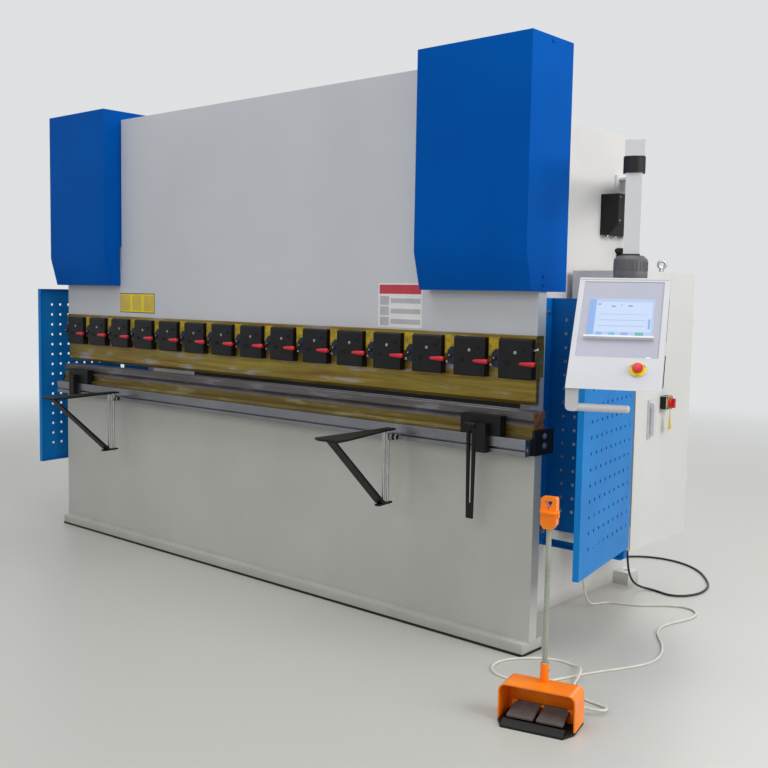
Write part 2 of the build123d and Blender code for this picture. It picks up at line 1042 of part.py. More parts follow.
def guard_door_closed():
    """Right door about its hinge, closed: the perforated face outside, lips turned inwards."""
    start = 1.5 * hinge_radius
    face = perforated(
        door_length - start, guard_top - door_bottom, door_hole_columns, hole_pitch,
        door_hole_margin, hole_first_z - door_bottom,
    )
    outside = hinge_radius
    inside = outside - guard_sheet
    plane = Plane(origin=(inside, -door_length, door_bottom), x_dir=(0, 1, 0), z_dir=(1, 0, 0))
    door = extrude(plane * face, amount=guard_sheet)
    lip = inside - guard_lip
    door += brick(lip, inside, -door_length, -door_length + guard_sheet, door_bottom, guard_top)
    for z in (door_bottom, guard_top - guard_sheet):
        door += brick(lip, inside, -door_length, -2 * start, z, z + guard_sheet)
    for z in hinge_heights():
        door += brick(inside, outside, -start, 0, z, z + hinge_knuckle)
        door += bar((0, 0, z), (0, 0, z + hinge_knuckle), hinge_radius)
        door -= bar((0, 0, z), (0, 0, z + hinge_knuckle), hinge_pin_radius + running_clearance)
    return door


def guard_door_right():
    """Right door, standing open outwards."""
    return [Pos(hinge_x_right, wing_y, 0) * Rot(0, 0, door_rest_right) * guard_door_closed()]


def guard_door_left():
    """Left door, swung a little inwards past its closed place."""
    closed = left_of(guard_door_closed())
    return [Pos(-hinge_x_left, wing_y, 0) * Rot(0, 0, door_rest_left) * closed]


# Electrical cabinet

def cabinet_hinge_heights():
    """Where the cabinet door's knuckles sit on their pintles."""
    fifth = cabinet_height / 5
    return cabinet_bottom + fifth, cabinet_top - fifth


def cabinet():
    """Sheet cabinet on four spacers beside the right frame, open on its outer side."""
    body = brick(cabinet_inner, cabinet_body_outer, cabinet_front, cabinet_rear, cabinet_bottom, cabinet_top)
    body -= brick(
        cabinet_inner + sheet, cabinet_body_outer, cabinet_front + sheet, cabinet_rear - sheet,
        cabinet_bottom + sheet, cabinet_top - sheet,
    )
    radius = cabinet_hinge_radius
    axis_y = cabinet_rear + radius + slide_clearance
    axis_x = cabinet_body_outer + radius
    for z in cabinet_hinge_heights():
        low = z - 4 * radius
        body += brick(cabinet_body_outer - 3 * radius, axis_x, cabinet_rear, axis_y, low, z)
        body += bar((axis_x, axis_y, low), (axis_x, axis_y, z), radius)
        body += bar((axis_x, axis_y, z), (axis_x, axis_y, z + 4 * radius), cabinet_pin_radius)
    spacers = []
    inset = 2 * cabinet_stand
    for y in (cabinet_front + inset, cabinet_rear - inset):
        for z in (cabinet_bottom + inset, cabinet_top - inset):
            spacers.append(brick(
                frame_outer, cabinet_inner,
                y - cabinet_stand / 2, y + cabinet_stand / 2, z - cabinet_stand, z + cabinet_stand,
            ))
    return [body, *spacers]


def cabinet_door():
    """Tray-shaped door with its knuckles, the handle's plate and the main switch's base."""
    inner = cabinet_outer - cabinet_door_depth
    face = cabinet_outer - sheet
    door = brick(inner, cabinet_outer, cabinet_front, cabinet_rear, cabinet_bottom, cabinet_top)
    door -= brick(
        inner, face, cabinet_front + sheet, cabinet_rear - sheet,
        cabinet_bottom + sheet, cabinet_top - sheet,
    )
    radius = cabinet_hinge_radius
    axis_y = cabinet_rear + radius + slide_clearance
    axis_x = cabinet_body_outer + radius
    for z in cabinet_hinge_heights():
        high = z + 4 * radius
        door += brick(axis_x, cabinet_outer, cabinet_rear, axis_y + radius / 2, z, high)
        door += bar((axis_x, axis_y, z), (axis_x, axis_y, high), radius)
        door -= bar((axis_x, axis_y, z), (axis_x, axis_y, high), cabinet_pin_radius + running_clearance)
    shaft = handle_shaft_radius() + running_clearance
    plate_top = handle_z + handle_width
    plate_half = handle_plate_width / 2
    plate = brick(
        cabinet_outer, cabinet_outer + 2 * sheet, handle_y - plate_half, handle_y + plate_half,
        plate_top - handle_plate_height, plate_top,
    )
    bore = bar((inner, handle_y, handle_z), (cabinet_outer + 2 * sheet, handle_y, handle_z), shaft)
    half = main_switch_size / 2
    base = brick(
        cabinet_outer, cabinet_outer + main_switch_depth,
        main_switch_y - half, main_switch_y + half, main_switch_z - half, main_switch_z + half,
    )
    base -= bar(
        (cabinet_outer, main_switch_y, main_switch_z),
        (cabinet_outer + main_switch_depth, main_switch_y, main_switch_z), shaft,
    )
    return [door - bore, plate - bore, base]


def handle_shaft_radius():
    """Spindle of the door handle and of the main switch."""
    return handle_width / 4


def door_handle():
    """Hanging lever on its spindle, with the cam behind the door."""
    seat = cabinet_outer + 2 * sheet
    half = handle_width / 2
    low = handle_z - handle_length
    grip = [
        (seat, handle_z + half),
        (seat, handle_z - half),
        (seat + half, handle_z - 2 * half),
        (seat + half, low),
        (seat + 2 * half, low),
        (seat + 2 * half, handle_z + half),
    ]
    lever = along_y(grip, handle_y - half, handle_y + half)
    inner = cabinet_outer - cabinet_door_depth / 2
    lever += bar((inner, handle_y, handle_z), (seat, handle_y, handle_z), handle_shaft_radius())
    lever += brick(
        inner - sheet, inner, handle_y - 2 * half, handle_y + half / 2,
        handle_z - half / 2, handle_z + half / 2,
    )
    return [lever]


def main_switch():
    """Rotary handle of the main switch on its spindle."""
    y = main_switch_y
    z = main_switch_z
    seat = cabinet_outer + main_switch_depth
    end = seat + main_switch_knob_depth
    wing = main_switch_radius / 3
    knob = bar((seat, y, z), (end, y, z), main_switch_radius)
    knob += brick(
        end, end + main_switch_knob_depth, y - wing, y + wing,
        z - main_switch_radius, z + main_switch_radius,
    )
    return [knob + bar((cabinet_outer, y, z), (seat, y, z), handle_shaft_radius())]


def lifting_eye():
    """Eye bolt on the cabinet's top."""
    x = (cabinet_inner + cabinet_body_outer) / 2
    boss_top = cabinet_top + 3 * eye_wire
    ring_z = boss_top + eye_radius
    ring = Plane(origin=(x, eye_y, ring_z), z_dir=(1, -1, 0)) * Torus(eye_radius, eye_wire)
    return [ring + bar((x, eye_y, cabinet_top), (x, eye_y, boss_top), 2 * eye_wire)]


def switch_box():
    """Small black terminal box on the right frame, with a clip below it."""
    high = arm_bottom - arm_ear - switch_box_gap
    low = high - switch_box_height
    rear = switch_box_y + switch_box_length
    half = switch_box_depth / 2
    box = along_y(
        [
            (frame_outer, low),
            (frame_outer + half, low),
            (frame_outer + 2 * half, low + half),
            (frame_outer + 2 * half, high),
            (frame_outer, high),
        ],
        switch_box_y, rear,
    )
    clip_width = switch_box_length / 4
    clip = brick(
        frame_outer, frame_outer + switch_box_depth / 3, rear - clip_width, rear,
        low - 2 * clip_width, low - clip_width,
    )
    return [box, clip]


# Pendant

def arm_place():
    """Frame at the arm's pivot on the side frame, its X axis along the arm."""
    angle = radians(arm_direction)
    origin = (pole_x + arm_reach * cos(angle), pole_y + arm_reach * sin(angle))
    return Pos(*origin, 0) * Rot(0, 0, arm_direction - 180)


def pendant_bracket():
    """Two ears on a plate on the right frame, with the arm's pivot pin between them."""
    pivot = arm_place().position
    top = arm_bottom + arm_tube
    plate_half = 1.5 * arm_knuckle_radius
    low = arm_bottom - arm_ear
    high = top + arm_ear + slide_clearance
    bracket = brick(
        frame_outer, frame_outer + arm_ear, pivot.Y - plate_half, pivot.Y + plate_half,
        low, high + arm_ear,
    )
    for z in (low, high - arm_ear):
        ear = brick(
            frame_outer + arm_ear, pivot.X, pivot.Y - arm_knuckle_radius, pivot.Y + arm_knuckle_radius,
            z, z + arm_ear,
        )
        bracket += ear + bar((pivot.X, pivot.Y, z), (pivot.X, pivot.Y, z + arm_ear), arm_knuckle_radius)
    bracket += bar((pivot.X, pivot.Y, low), (pivot.X, pivot.Y, high), arm_pivot_radius)
    return [bracket]


def pendant_arm():
    """Square arm, elbow, ring, drop tube and the collar that carries the console."""
    top = arm_bottom + arm_tube
    half = arm_tube / 2
    wall = sheet
    elbow = elbow_size / 2
    neck = arm_knuckle_radius - wall
    end = arm_reach - elbow
    arm = brick(neck, end, -half, half, arm_bottom, top)
    arm -= brick(neck + 2 * wall, end, -half + wall, half - wall, arm_bottom + wall, top - wall)
    arm += bar((0, 0, arm_bottom), (0, 0, top), arm_knuckle_radius)
    arm -= bar((0, 0, arm_bottom), (0, 0, top), arm_pivot_radius + running_clearance)
    block = brick(end, arm_reach + elbow, -elbow, elbow, arm_bottom, top)
    ring = bar((arm_reach, 0, ring_bottom), (arm_reach, 0, arm_bottom), ring_radius)
    drop = brick(
        arm_reach - half, arm_reach + half, -half, half, collar_top, ring_bottom,
    )
    drop -= brick(
        arm_reach - half + wall, arm_reach + half - wall, -half + wall, half - wall,
        collar_top, ring_bottom,
    )
    collar = bar((arm_reach, 0, console_top), (arm_reach, 0, collar_top), collar_radius)
    collar = chamfer(collar.edges().group_by(Axis.Z)[-1], wall * 4)
    collar += bar((arm_reach, 0, console_top - swivel_depth), (arm_reach, 0, console_top), swivel_radius)
    place = arm_place()
    return [place * piece for piece in (arm, block, ring, drop, collar)]


def console_place():
    """Frame on the pole's axis at floor height, its Y axis towards the console's back."""
    return Pos(pole_x, pole_y, 0) * Rot(0, 0, console_yaw)


def body_place():
    """The same frame moved sideways to the middle of the console's body."""
    return console_place() * Pos(console_shift, 0, 0)


def face_low_edge():
    """Depth and height of the lower edge of the console's sloping front."""
    tilt = radians(console_tilt)
    return -console_setback - console_face * sin(tilt), console_top - console_face * cos(tilt)


def face_place():
    """Frame on the console's sloping front, at the middle of its lower edge."""
    low_y, low_z = face_low_edge()
    return body_place() * Pos(0, low_y, low_z) * Rot(90 - console_tilt, 0, 0)


def pendant_box():
    """Console: sloping front, thin body and a shelf on top for the swivel."""
    half = console_width / 2
    low_y, low_z = face_low_edge()
    under = console_top - console_shelf_height
    slope = tan(radians(console_tilt))
    back_top = -console_setback + console_thickness - console_shelf_height * 2 * slope
    profile = [
        (low_y, low_z),
        (-console_setback, console_top),
        (console_shelf, console_top),
        (console_shelf, under),
        (back_top, under - console_shelf_height),
        (low_y + console_thickness, low_z),
    ]
    body = body_place() * along_x(profile, -half, half)
    half_bezel = bezel_width / 2
    body -= face_place() * brick(-half_bezel, half_bezel, bezel_bottom, bezel_top, -bezel_recess, 0)
    half_ledge = ledge_width / 2
    ledge_low = screen_bottom - ledge_thickness
    body += face_place() * brick(-half_ledge, half_ledge, ledge_low, screen_bottom, -bezel_recess, ledge_out)
    pin_bottom = console_top - swivel_depth - sheet
    pin_bore = swivel_radius + running_clearance
    body -= console_place() * bar((0, 0, pin_bottom), (0, 0, console_top), pin_bore)
    stem_bore = estop_stem + running_clearance
    seat = (estop_u, estop_v, 0)
    body -= face_place() * bar((estop_u, estop_v, -estop_bore_depth), seat, stem_bore)
    plate = tube(seat, (estop_u, estop_v, sheet), estop_plate_radius, stem_bore)
    return [body, face_place() * plate]


def screen():
    """Touch screen in the bezel."""
    middle = Pos(0, screen_bottom + screen_height / 2, -bezel_recess + screen_thickness / 2)
    return [face_place() * middle * Box(screen_width, screen_height, screen_thickness)]


def pendant_grip():
    """L-shaped grip below the console's left end."""
    low_y, low_z = face_low_edge()
    left = -console_width / 2
    y = low_y + 2 * grip_radius
    bar_z = low_z - grip_drop
    post = brick(left, left + grip_post, y - grip_radius, y + grip_radius, bar_z - grip_radius, low_z)
    post = fillet(post.edges().filter_by(Axis.Y).group_by(Axis.Z)[0].sort_by(Axis.X)[0], grip_radius)
    grip = bar((left + grip_post / 2, y, bar_z), (left + grip_length, y, bar_z), grip_radius)
    return [body_place() * (post + grip)]


def estop_button():
    """Red mushroom button on its stem."""
    low = sheet + estop_gap
    seat = (estop_u, estop_v, low)
    button = bar(seat, (estop_u, estop_v, low + estop_height), estop_radius)
    button = chamfer(button.edges().group_by(Axis.Z)[-1], estop_height / 3)
    button += bar((estop_u, estop_v, low - 3 * estop_stem), seat, estop_stem)
    return [face_place() * button]


# Foot pedal

def pedal_place():
    """Frame on the floor at the middle of the hood's mouth, its Y axis towards its back."""
    return Pos(pedal_x, pedal_y, 0) * Rot(0, 0, pedal_yaw)


def pedal_hood():
    """Pedal housing, open at the front, with the pole's socket; its base with the treads' pin."""
    half = hood_width / 2
    corners = [(-half, pedal_base), (half, pedal_base), (half, hood_height), (-half, hood_height)]
    outer = along_y(corners, 0, hood_depth, [0, 0, hood_radius, hood_radius])
    inside = half - hood_wall
    ceiling = hood_height - hood_wall
    corners = [(-inside, pedal_base), (inside, pedal_base), (inside, ceiling), (-inside, ceiling)]
    radius = hood_radius - hood_wall
    inner = along_y(corners, 0, hood_depth - hood_wall, [0, 0, radius, radius])
    socket_top = hood_height + pole_socket_height
    socket = tube((0, pole_back, hood_height), (0, pole_back, socket_top), pole_socket_radius, pole_radius)
    front = pedal_base_width / 2
    base = along_z(
        [
            (-half, hood_depth),
            (-half, 0),
            (-front, -pedal_base_front),
            (front, -pedal_base_front),
            (half, 0),
            (half, hood_depth),
        ],
        0, pedal_base,
    )
    ramp_back = -pedal_base_front + ramp_depth
    ramp = [
        (-pedal_base_front, pedal_base),
        (ramp_back, ramp_height),
        (ramp_back, pedal_base),
    ]
    base += along_x(ramp, -front, front)
    pin_y, pin_z = tread_pin_place()
    radius = tread_pin_radius
    base += bar((-front, pin_y, pin_z), (front, pin_y, pin_z), radius)
    outer_end = tread_middle + tread_width / 2 + slide_clearance
    for side in (-1, 1):
        edges = sorted((side * outer_end, side * front))
        base += brick(*edges, pin_y - 2 * radius, pin_y + 2 * radius, pedal_base, pin_z + 2 * radius)
    return [pedal_place() * (outer - inner + socket), pedal_place() * base]


def pedal_tread(side):
    """One of the two treads: a sloping plate on a cross pin near its back."""
    middle = side * tread_middle
    low = middle - tread_width / 2
    high = middle + tread_width / 2
    pin_y, pin_z = tread_pin_place()
    half = tread_thickness / 2
    nose = half / 2
    plate = along_x(
        [
            (-tread_length, -half),
            (-tread_length, half),
            (half, half),
            (half, -half),
        ],
        low, high, [nose, nose, nose, nose],
    )
    plate = Pos(0, pin_y, pin_z) * Rot(tread_slope, 0, 0) * plate
    plate += bar((low, pin_y, pin_z), (high, pin_y, pin_z), 2 * tread_pin_radius)
    plate -= bar((low, pin_y, pin_z), (high, pin_y, pin_z), tread_pin_radius + running_clearance)
    return [pedal_place() * plate]


def tread_pin_place():
    """Depth and height of the treads' pin."""
    return tread_length - tread_front, tread_height


def head_low():
    """Height of the pole's upper end, where its head begins."""
    return hood_height + pole_socket_height + pole_height


def pedal_pole():
    """Steel pole that stands in the socket on the hood."""
    return [pedal_place() * bar((0, pole_back, hood_height), (0, pole_back, head_low()), pole_radius)]


def pedal_head():
    """Moulded head on the pole, with a ring, a three-cornered finger hole and a button."""
    low = head_low()
    half = head_width / 2
    deep = head_depth / 2
    neck = head_neck / 2
    top = low + head_height
    outer = [
        (-neck, low, 0),
        (neck, low, 0),
        (half, low + head_corner, 0),
        (half, top, head_radius),
        (-half, top, head_radius),
        (-half, low + head_corner, 0),
    ]
    points = [(x, z) for x, z, _ in outer]
    head = along_y(points, pole_back - deep, pole_back + deep, [radius for _, _, radius in outer])
    hole_low = low + head_hole_lift
    hole_top = hole_low + head_hole_height
    corner = head_hole_width / 2
    hole = [(0, hole_low), (corner, hole_top), (-corner, hole_top)]
    head -= along_y(hole, pole_back - deep, pole_back + deep)
    ring_low = low + head_ring_lift
    ring_top = ring_low + head_ring_height
    head += bar((0, pole_back, ring_low), (0, pole_back, ring_top), head_ring)
    button_z = ring_low - head_button_radius
    button_end = half + head_button_length
    head += bar((half, pole_back, button_z), (button_end, pole_back, button_z), head_button_radius)
    return [pedal_place() * head]


# Hydraulic unit on the tank

def oil_tank():
    """Welded tank between the frames with its lid and filler cap."""
    rear = tank_front + tank_depth
    lid_low = tank_bottom + tank_height - tank_lid
    tank = brick(-frame_inner, frame_inner, tank_front, rear, tank_bottom, lid_low)
    tank -= brick(
        -frame_inner + tank_wall, frame_inner - tank_wall, tank_front + tank_wall, rear - tank_wall,
        tank_bottom + tank_wall, lid_low,
    )
    lid = brick(-frame_inner, frame_inner, tank_front, rear, lid_low, lid_low + tank_lid)
    top = lid_low + tank_lid
    cap = bar((filler_x, motor_y, top), (filler_x, motor_y, top + filler_height), filler_radius)
    return [tank, lid, cap]


def tank_top():
    """Height of the tank's lid."""
    return tank_bottom + tank_height


def drive_height():
    """Height of the motor's shaft above the lid."""
    return tank_top() + motor_radius + motor_feet


def pump_motor():
    """Electric motor on its feet, lying along the tank, with its fan cowl and terminal box."""
    z = drive_height()
    end = motor_x + motor_length
    motor = bar((motor_x, motor_y, z), (end, motor_y, z), motor_radius)
    motor += bar((motor_x - cowl_length, motor_y, z), (motor_x, motor_y, z), cowl_radius)
    half = terminal_box / 2
    middle = motor_x + motor_length / 2
    motor += brick(
        middle - half, middle + half, motor_y - half, motor_y + half,
        z, z + terminal_box_height,
    )
    feet_top = z - motor_radius / 2
    for x in (motor_x + cowl_length / 2, end - cowl_length / 2):
        motor += brick(
            x - motor_feet, x + motor_feet, motor_y - motor_radius, motor_y + motor_radius,
            tank_top(), feet_top,
        )
    return [motor]


def hydraulic_pump():
    """Bell housing on the motor's flange and the gear pump on it."""
    z = drive_height()
    start = motor_x + motor_length
    bell_end = start + coupling_length
    pump = bar((start, motor_y, z), (bell_end, motor_y, z), coupling_radius)
    half = pump_width / 2
    pump += brick(
        bell_end, bell_end + pump_length, motor_y - half, motor_y + half,
        z - pump_height / 2, z + pump_height / 2,
    )
    return [pump]


def valve_block():
    """Drilled manifold on the tank with its solenoid valves on top."""
    low = tank_top()
    half = valve_depth / 2
    block = brick(valve_x, valve_x + valve_width, motor_y - half, motor_y + half, low, low + valve_height)
    valves = []
    step = valve_width / solenoid_count
    deep = solenoid_depth / 2
    for index in range(solenoid_count):
        x = valve_x + (index + 1 / 2) * step
        valves.append(brick(
            x - step / 3, x + step / 3, motor_y - deep, motor_y + deep,
            low + valve_height, low + valve_height + step,
        ))
    return [block, *valves]


def pressure_pipes():
    """Steel pipes from the manifold to the cylinder heads and from the pump to the manifold."""
    low = tank_top()
    z = low + valve_height / 2
    half = valve_depth / 2
    head_z = cylinder_top + cylinder_head_height + port_height / 2
    turn = 4 * pipe_radius
    pipes = []
    for side in (-1, 1):
        start_x = valve_x + valve_width / 2 + side * valve_width / 4
        rise_y = motor_y - half - turn - (1 + side) * turn
        end_x = side * frame_middle
        points = [
            (start_x, motor_y - half, z),
            (start_x, rise_y, z),
            (start_x, rise_y, head_z),
            (end_x, rise_y, head_z),
            (end_x, cylinder_axis_y + port_radius, head_z),
        ]
        route = FilletPolyline(*points, radius=turn - pipe_radius / 2)
        section = Plane(origin=points[0], z_dir=(0, -1, 0)) * Circle(pipe_radius)
        pipes.append(sweep(section, path=route))
    pump_end = motor_x + motor_length + coupling_length + pump_length
    pipes.append(bar((pump_end, motor_y, z), (valve_x, motor_y, z), pipe_radius))
    return pipes


# Back gauge

def gauge_carriers():
    """Rails on the frames' inner faces, with the end bearings of the ball screws."""
    inner = frame_inner - carrier_width
    rear = carrier_front + carrier_length
    top = carrier_bottom + carrier_height
    screw_x = frame_inner - screw_inset
    screw_z = top + screw_lift
    bearing_bore = screw_radius + running_clearance
    rail = brick(inner - screw_inset / 2, frame_inner, carrier_front, rear, carrier_bottom, top)
    for y in (carrier_front, rear - bearing_length):
        block = brick(
            screw_x - 2 * screw_radius, screw_x + 2 * screw_radius, y, y + bearing_length,
            top, screw_z + 2 * screw_radius,
        )
        bore = bar((screw_x, y, screw_z), (screw_x, y + bearing_length, screw_z), bearing_bore)
        rail += block - bore
    return [rail, left_of(rail)]


def ball_screw():
    """Right screw in its two bearings, with the belt wheel behind."""
    screw_x = frame_inner - screw_inset
    screw_z = carrier_bottom + carrier_height + screw_lift
    rear = carrier_front + carrier_length
    screw = bar((screw_x, carrier_front, screw_z), (screw_x, rear + bearing_length, screw_z), screw_radius)
    wheel_start = rear + slide_clearance
    wheel_end = wheel_start + bearing_length
    screw += bar((screw_x, wheel_start, screw_z), (screw_x, wheel_end, screw_z), belt_wheel_radius)
    return [screw]


def gauge_beam_span():
    """Ends of the beam between the two nuts, and its underside."""
    nut_inner = frame_inner - screw_inset - nut_width / 2
    return nut_inner, carrier_bottom + carrier_height + gauge_beam_lift


def gauge_beam():
    """Beam across the machine with a nut on each ball screw."""
    end, low = gauge_beam_span()
    screw_x = frame_inner - screw_inset
    screw_z = carrier_bottom + carrier_height + screw_lift
    rear = gauge_beam_y + gauge_beam_depth
    beam = brick(-end, end, gauge_beam_y, rear, low, low + gauge_beam_height)
    nut = brick(
        end, screw_x + nut_width / 2, gauge_beam_y, rear,
        screw_z - 2 * screw_radius, screw_z + 2 * screw_radius,
    )
    nut -= bar((screw_x, gauge_beam_y, screw_z), (screw_x, rear, screw_z), screw_radius + running_clearance)
    return [beam + nut + left_of(nut)]


def gauge_finger():
    """Right stop finger: a saddle on the beam and an arm that reaches forward over the die."""
    low = gauge_beam_span()[1]
    top = low + gauge_beam_height
    half = finger_width / 2
    arm_low = max(die_top, top) + finger_grip
    arm_top = arm_low + finger_thickness
    front = gauge_beam_y - finger_reach
    rear = gauge_beam_y + gauge_beam_depth
    gap = finger_gap
    profile = [
        (front, arm_low),
        (gauge_beam_y - finger_grip - gap, arm_low),
        (gauge_beam_y - finger_grip - gap, top - 4 * finger_grip),
        (gauge_beam_y - gap, top - 4 * finger_grip),
        (gauge_beam_y - gap, top + gap),
        (rear + gap, top + gap),
        (rear + gap, top - 4 * finger_grip),
        (rear + finger_grip + gap, top - 4 * finger_grip),
        (rear + finger_grip + gap, arm_top),
        (front, arm_top),
    ]
    return [along_x(profile, finger_x - half, finger_x + half)]


# Cables

def cable_radii(points):
    """Largest round bend that each inner point of a route has room for."""
    radii = []
    for before, here, after in zip(points, points[1:], points[2:]):
        run_in = Vector(*here) - Vector(*before)
        run_out = Vector(*after) - Vector(*here)
        turn = radians(run_in.get_angle(run_out))
        radii.append(bend_share * min(run_in.length, run_out.length) / tan(turn / 2))
    return radii


def cable(name, points, radius):
    """Cable of straight runs and round bends through its points."""
    radii = cable_radii(points)
    route = FilletPolyline(*points, radius=radii)
    start = Vector(*points[1]) - Vector(*points[0])
    section = Plane(origin=points[0], z_dir=start) * Circle(radius)
    solid = sweep(section, path=route)
    print(name, "length", round(route.length), "smallest bend", round(min(radii)), "of", radius * 2)
    print(name, "volume ratio", round(solid.volume / (pi * radius ** 2 * route.length), 4))
    return [solid]


power_gland_x = 1100
power_gland_z = 140
gland_low = cabinet_bottom - gland_length
floor_white = pedal_cable_radius
floor_black = power_cable_radius

pedal_gland = pedal_place() * Pos(pedal_gland_x, hood_depth, pedal_gland_z)
pedal_gland_end = tuple((pedal_gland * Pos(0, gland_length, 0)).position)
pedal_gland_run = tuple((pedal_gland * Pos(0, 3.5 * gland_length, 0)).position)

pedal_cable_points = [
    (1440, 630, gland_low), (1440, 630, 240), (1441, 632, 185), (1441, 640, 130), (1442, 653, 80),
    (1443, 672, 38), (1447, 697, 12), (1455, 730, floor_white), (1474, 790, floor_white),
    (1536, 818, floor_white), (1598, 850, floor_white), (1650, 899, floor_white),
    (1706, 951, floor_white), (1780, 975, floor_white), (1838, 935, floor_white),
    (1857, 862, floor_white), (1842, 786, floor_white), (1818, 712, floor_white),
    (1813, 638, floor_white), (1832, 566, floor_white), (1872, 504, floor_white),
    (1916, 444, floor_white), (1951, 376, floor_white), (1975, 302, floor_white),
    (1979, 225, floor_white), (1957, 152, floor_white), (1923, 83, floor_white),
    (1888, 14, floor_white), (1855, -56, floor_white), (1829, -129, floor_white),
    (1800, -200, floor_white), (1748, -258, floor_white), (1677, -284, floor_white),
    (1604, -268, floor_white), (1560, -208, floor_white), (1562, -134, floor_white),
    (1602, -71, floor_white), (1656, -19, floor_white), (1722, 10, floor_white),
    (1786, 0, floor_white), (1826, -32, 18), (1856, -72, 24), (1872, -120, 16),
    (1886, -176, floor_white), (1916, -230, floor_white), (1968, -258, floor_white),
    (2024, -262, floor_white), (2074, -274, 8), (2092, -312, 14), (2066, -346, 20), pedal_gland_run,
    pedal_gland_end,
]

power_cable_points = [
    (1480, 960, gland_low), (1480, 960, 225), (1477, 972, 170), (1470, 996, 118), (1464, 1030, 70),
    (1466, 1068, 32), (1484, 1100, 12), (1518, 1120, floor_black), (1573, 1110, floor_black),
    (1629, 1090, floor_black), (1680, 1120, floor_black), (1712, 1176, floor_black),
    (1722, 1244, floor_black), (1712, 1316, floor_black), (1690, 1386, floor_black),
    (1652, 1452, floor_black), (1610, 1516, floor_black), (1558, 1580, floor_black),
    (1496, 1634, floor_black), (1426, 1672, floor_black), (1348, 1690, floor_black),
    (1268, 1682, floor_black), (1196, 1646, floor_black), (1144, 1586, floor_black),
    (1114, 1512, 12), (1104, 1446, 30), (power_gland_x, 1386, 62), (power_gland_x, 1330, 104),
    (power_gland_x, 1266, power_gland_z),
    (power_gland_x, rear_beam_back + gland_length, power_gland_z),
]


def cable_glands():
    """Glands under the cabinet, in the rear beam and in the pedal's housing."""
    white = pedal_cable_points[0]
    black = power_cable_points[0]
    glands = [
        bar(white, (white[0], white[1], cabinet_bottom), gland_radius),
        bar(black, (black[0], black[1], cabinet_bottom), gland_radius),
    ]
    beam_face = (power_gland_x, rear_beam_back, power_gland_z)
    glands.append(bar(beam_face, power_cable_points[-1], gland_radius))
    glands.append(bar(tuple(pedal_gland.position), pedal_gland_end, gland_radius))
    return glands


# The whole machine, one file for each named piece

parts = {
    "bed": bed(),
    "worktable": worktable(),
    "die_base": die_base(),
    "die": die(),
    "side_frame_left": [left_of(piece) for piece in side_frame()],
    "side_frame_right": side_frame(),
    "rear_beam": rear_beam(),
    "ram": ram(),
    "ram_guides": ram_guides(),
    "tool_bar": tool_bar(),
    "punch": punch(),
    "clamp_blocks": clamp_blocks(),
    "clamp_levers": clamp_levers(),
    "cylinder_left": [left_of(piece) for piece in cylinder()],
    "cylinder_right": cylinder(),
    "piston_rods": piston_rods(),
    "cylinder_cover_left": [left_of(piece) for piece in cylinder_cover()],
    "cylinder_cover_right": cylinder_cover(),
    "fixing_bolts": fixing_bolts(),
    "support_carriage_left": support_carriage(support_x_left),
    "support_carriage_right": support_carriage(support_x_right),
    "support_arm_left": support_arm(support_x_left),
    "support_arm_right": support_arm(support_x_right),
    "stop_brackets": stop_brackets(),
    "stop_arm": stop_arm(),
    "guard_wing_left": [left_of(piece) for piece in guard_wing(hinge_x_left)],
    "guard_wing_right": guard_wing(hinge_x_right),
    "guard_door_left": guard_door_left(),
    "guard_door_right": guard_door_right(),
    "cabinet": cabinet(),
    "cabinet_door": cabinet_door(),
    "door_handle": door_handle(),
    "main_switch": main_switch(),
    "lifting_eye": lifting_eye(),
    "switch_box": switch_box(),
    "pendant_bracket": pendant_bracket(),
    "pendant_arm": pendant_arm(),
    "pendant_box": pendant_box(),
    "screen": screen(),
    "pendant_grip": pendant_grip(),
    "estop_button": estop_button(),
    "pedal_hood": pedal_hood(),
    "pedal_left": pedal_tread(-1),
    "pedal_right": pedal_tread(1),
    "pedal_pole": pedal_pole(),
    "pedal_head": pedal_head(),
    "pedal_cable": cable("pedal_cable", pedal_cable_points, pedal_cable_radius),
    "power_cable": cable("power_cable", power_cable_points, power_cable_radius),
    "cable_glands": cable_glands(),
    "oil_tank": oil_tank(),
    "pump_motor": pump_motor(),
    "hydraulic_pump": hydraulic_pump(),
    "valve_block": valve_block(),
    "pressure_pipes": pressure_pipes(),
    "gauge_carriers": gauge_carriers(),
    "gauge_beam": gauge_beam(),
    "ball_screw_left": [left_of(piece) for piece in ball_screw()],
    "ball_screw_right": ball_screw(),
    "gauge_finger_left": [left_of(piece) for piece in gauge_finger()],
    "gauge_finger_right": gauge_finger(),
}

os.makedirs("parts", exist_ok=True)
for name, pieces in parts.items():
    solids = [solid for piece in pieces for solid in piece.solids()]
    export_step(Compound(children=solids), f"parts/{name}.step")
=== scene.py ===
import json
import math

import bmesh
import bpy
from mathutils import Matrix, Vector

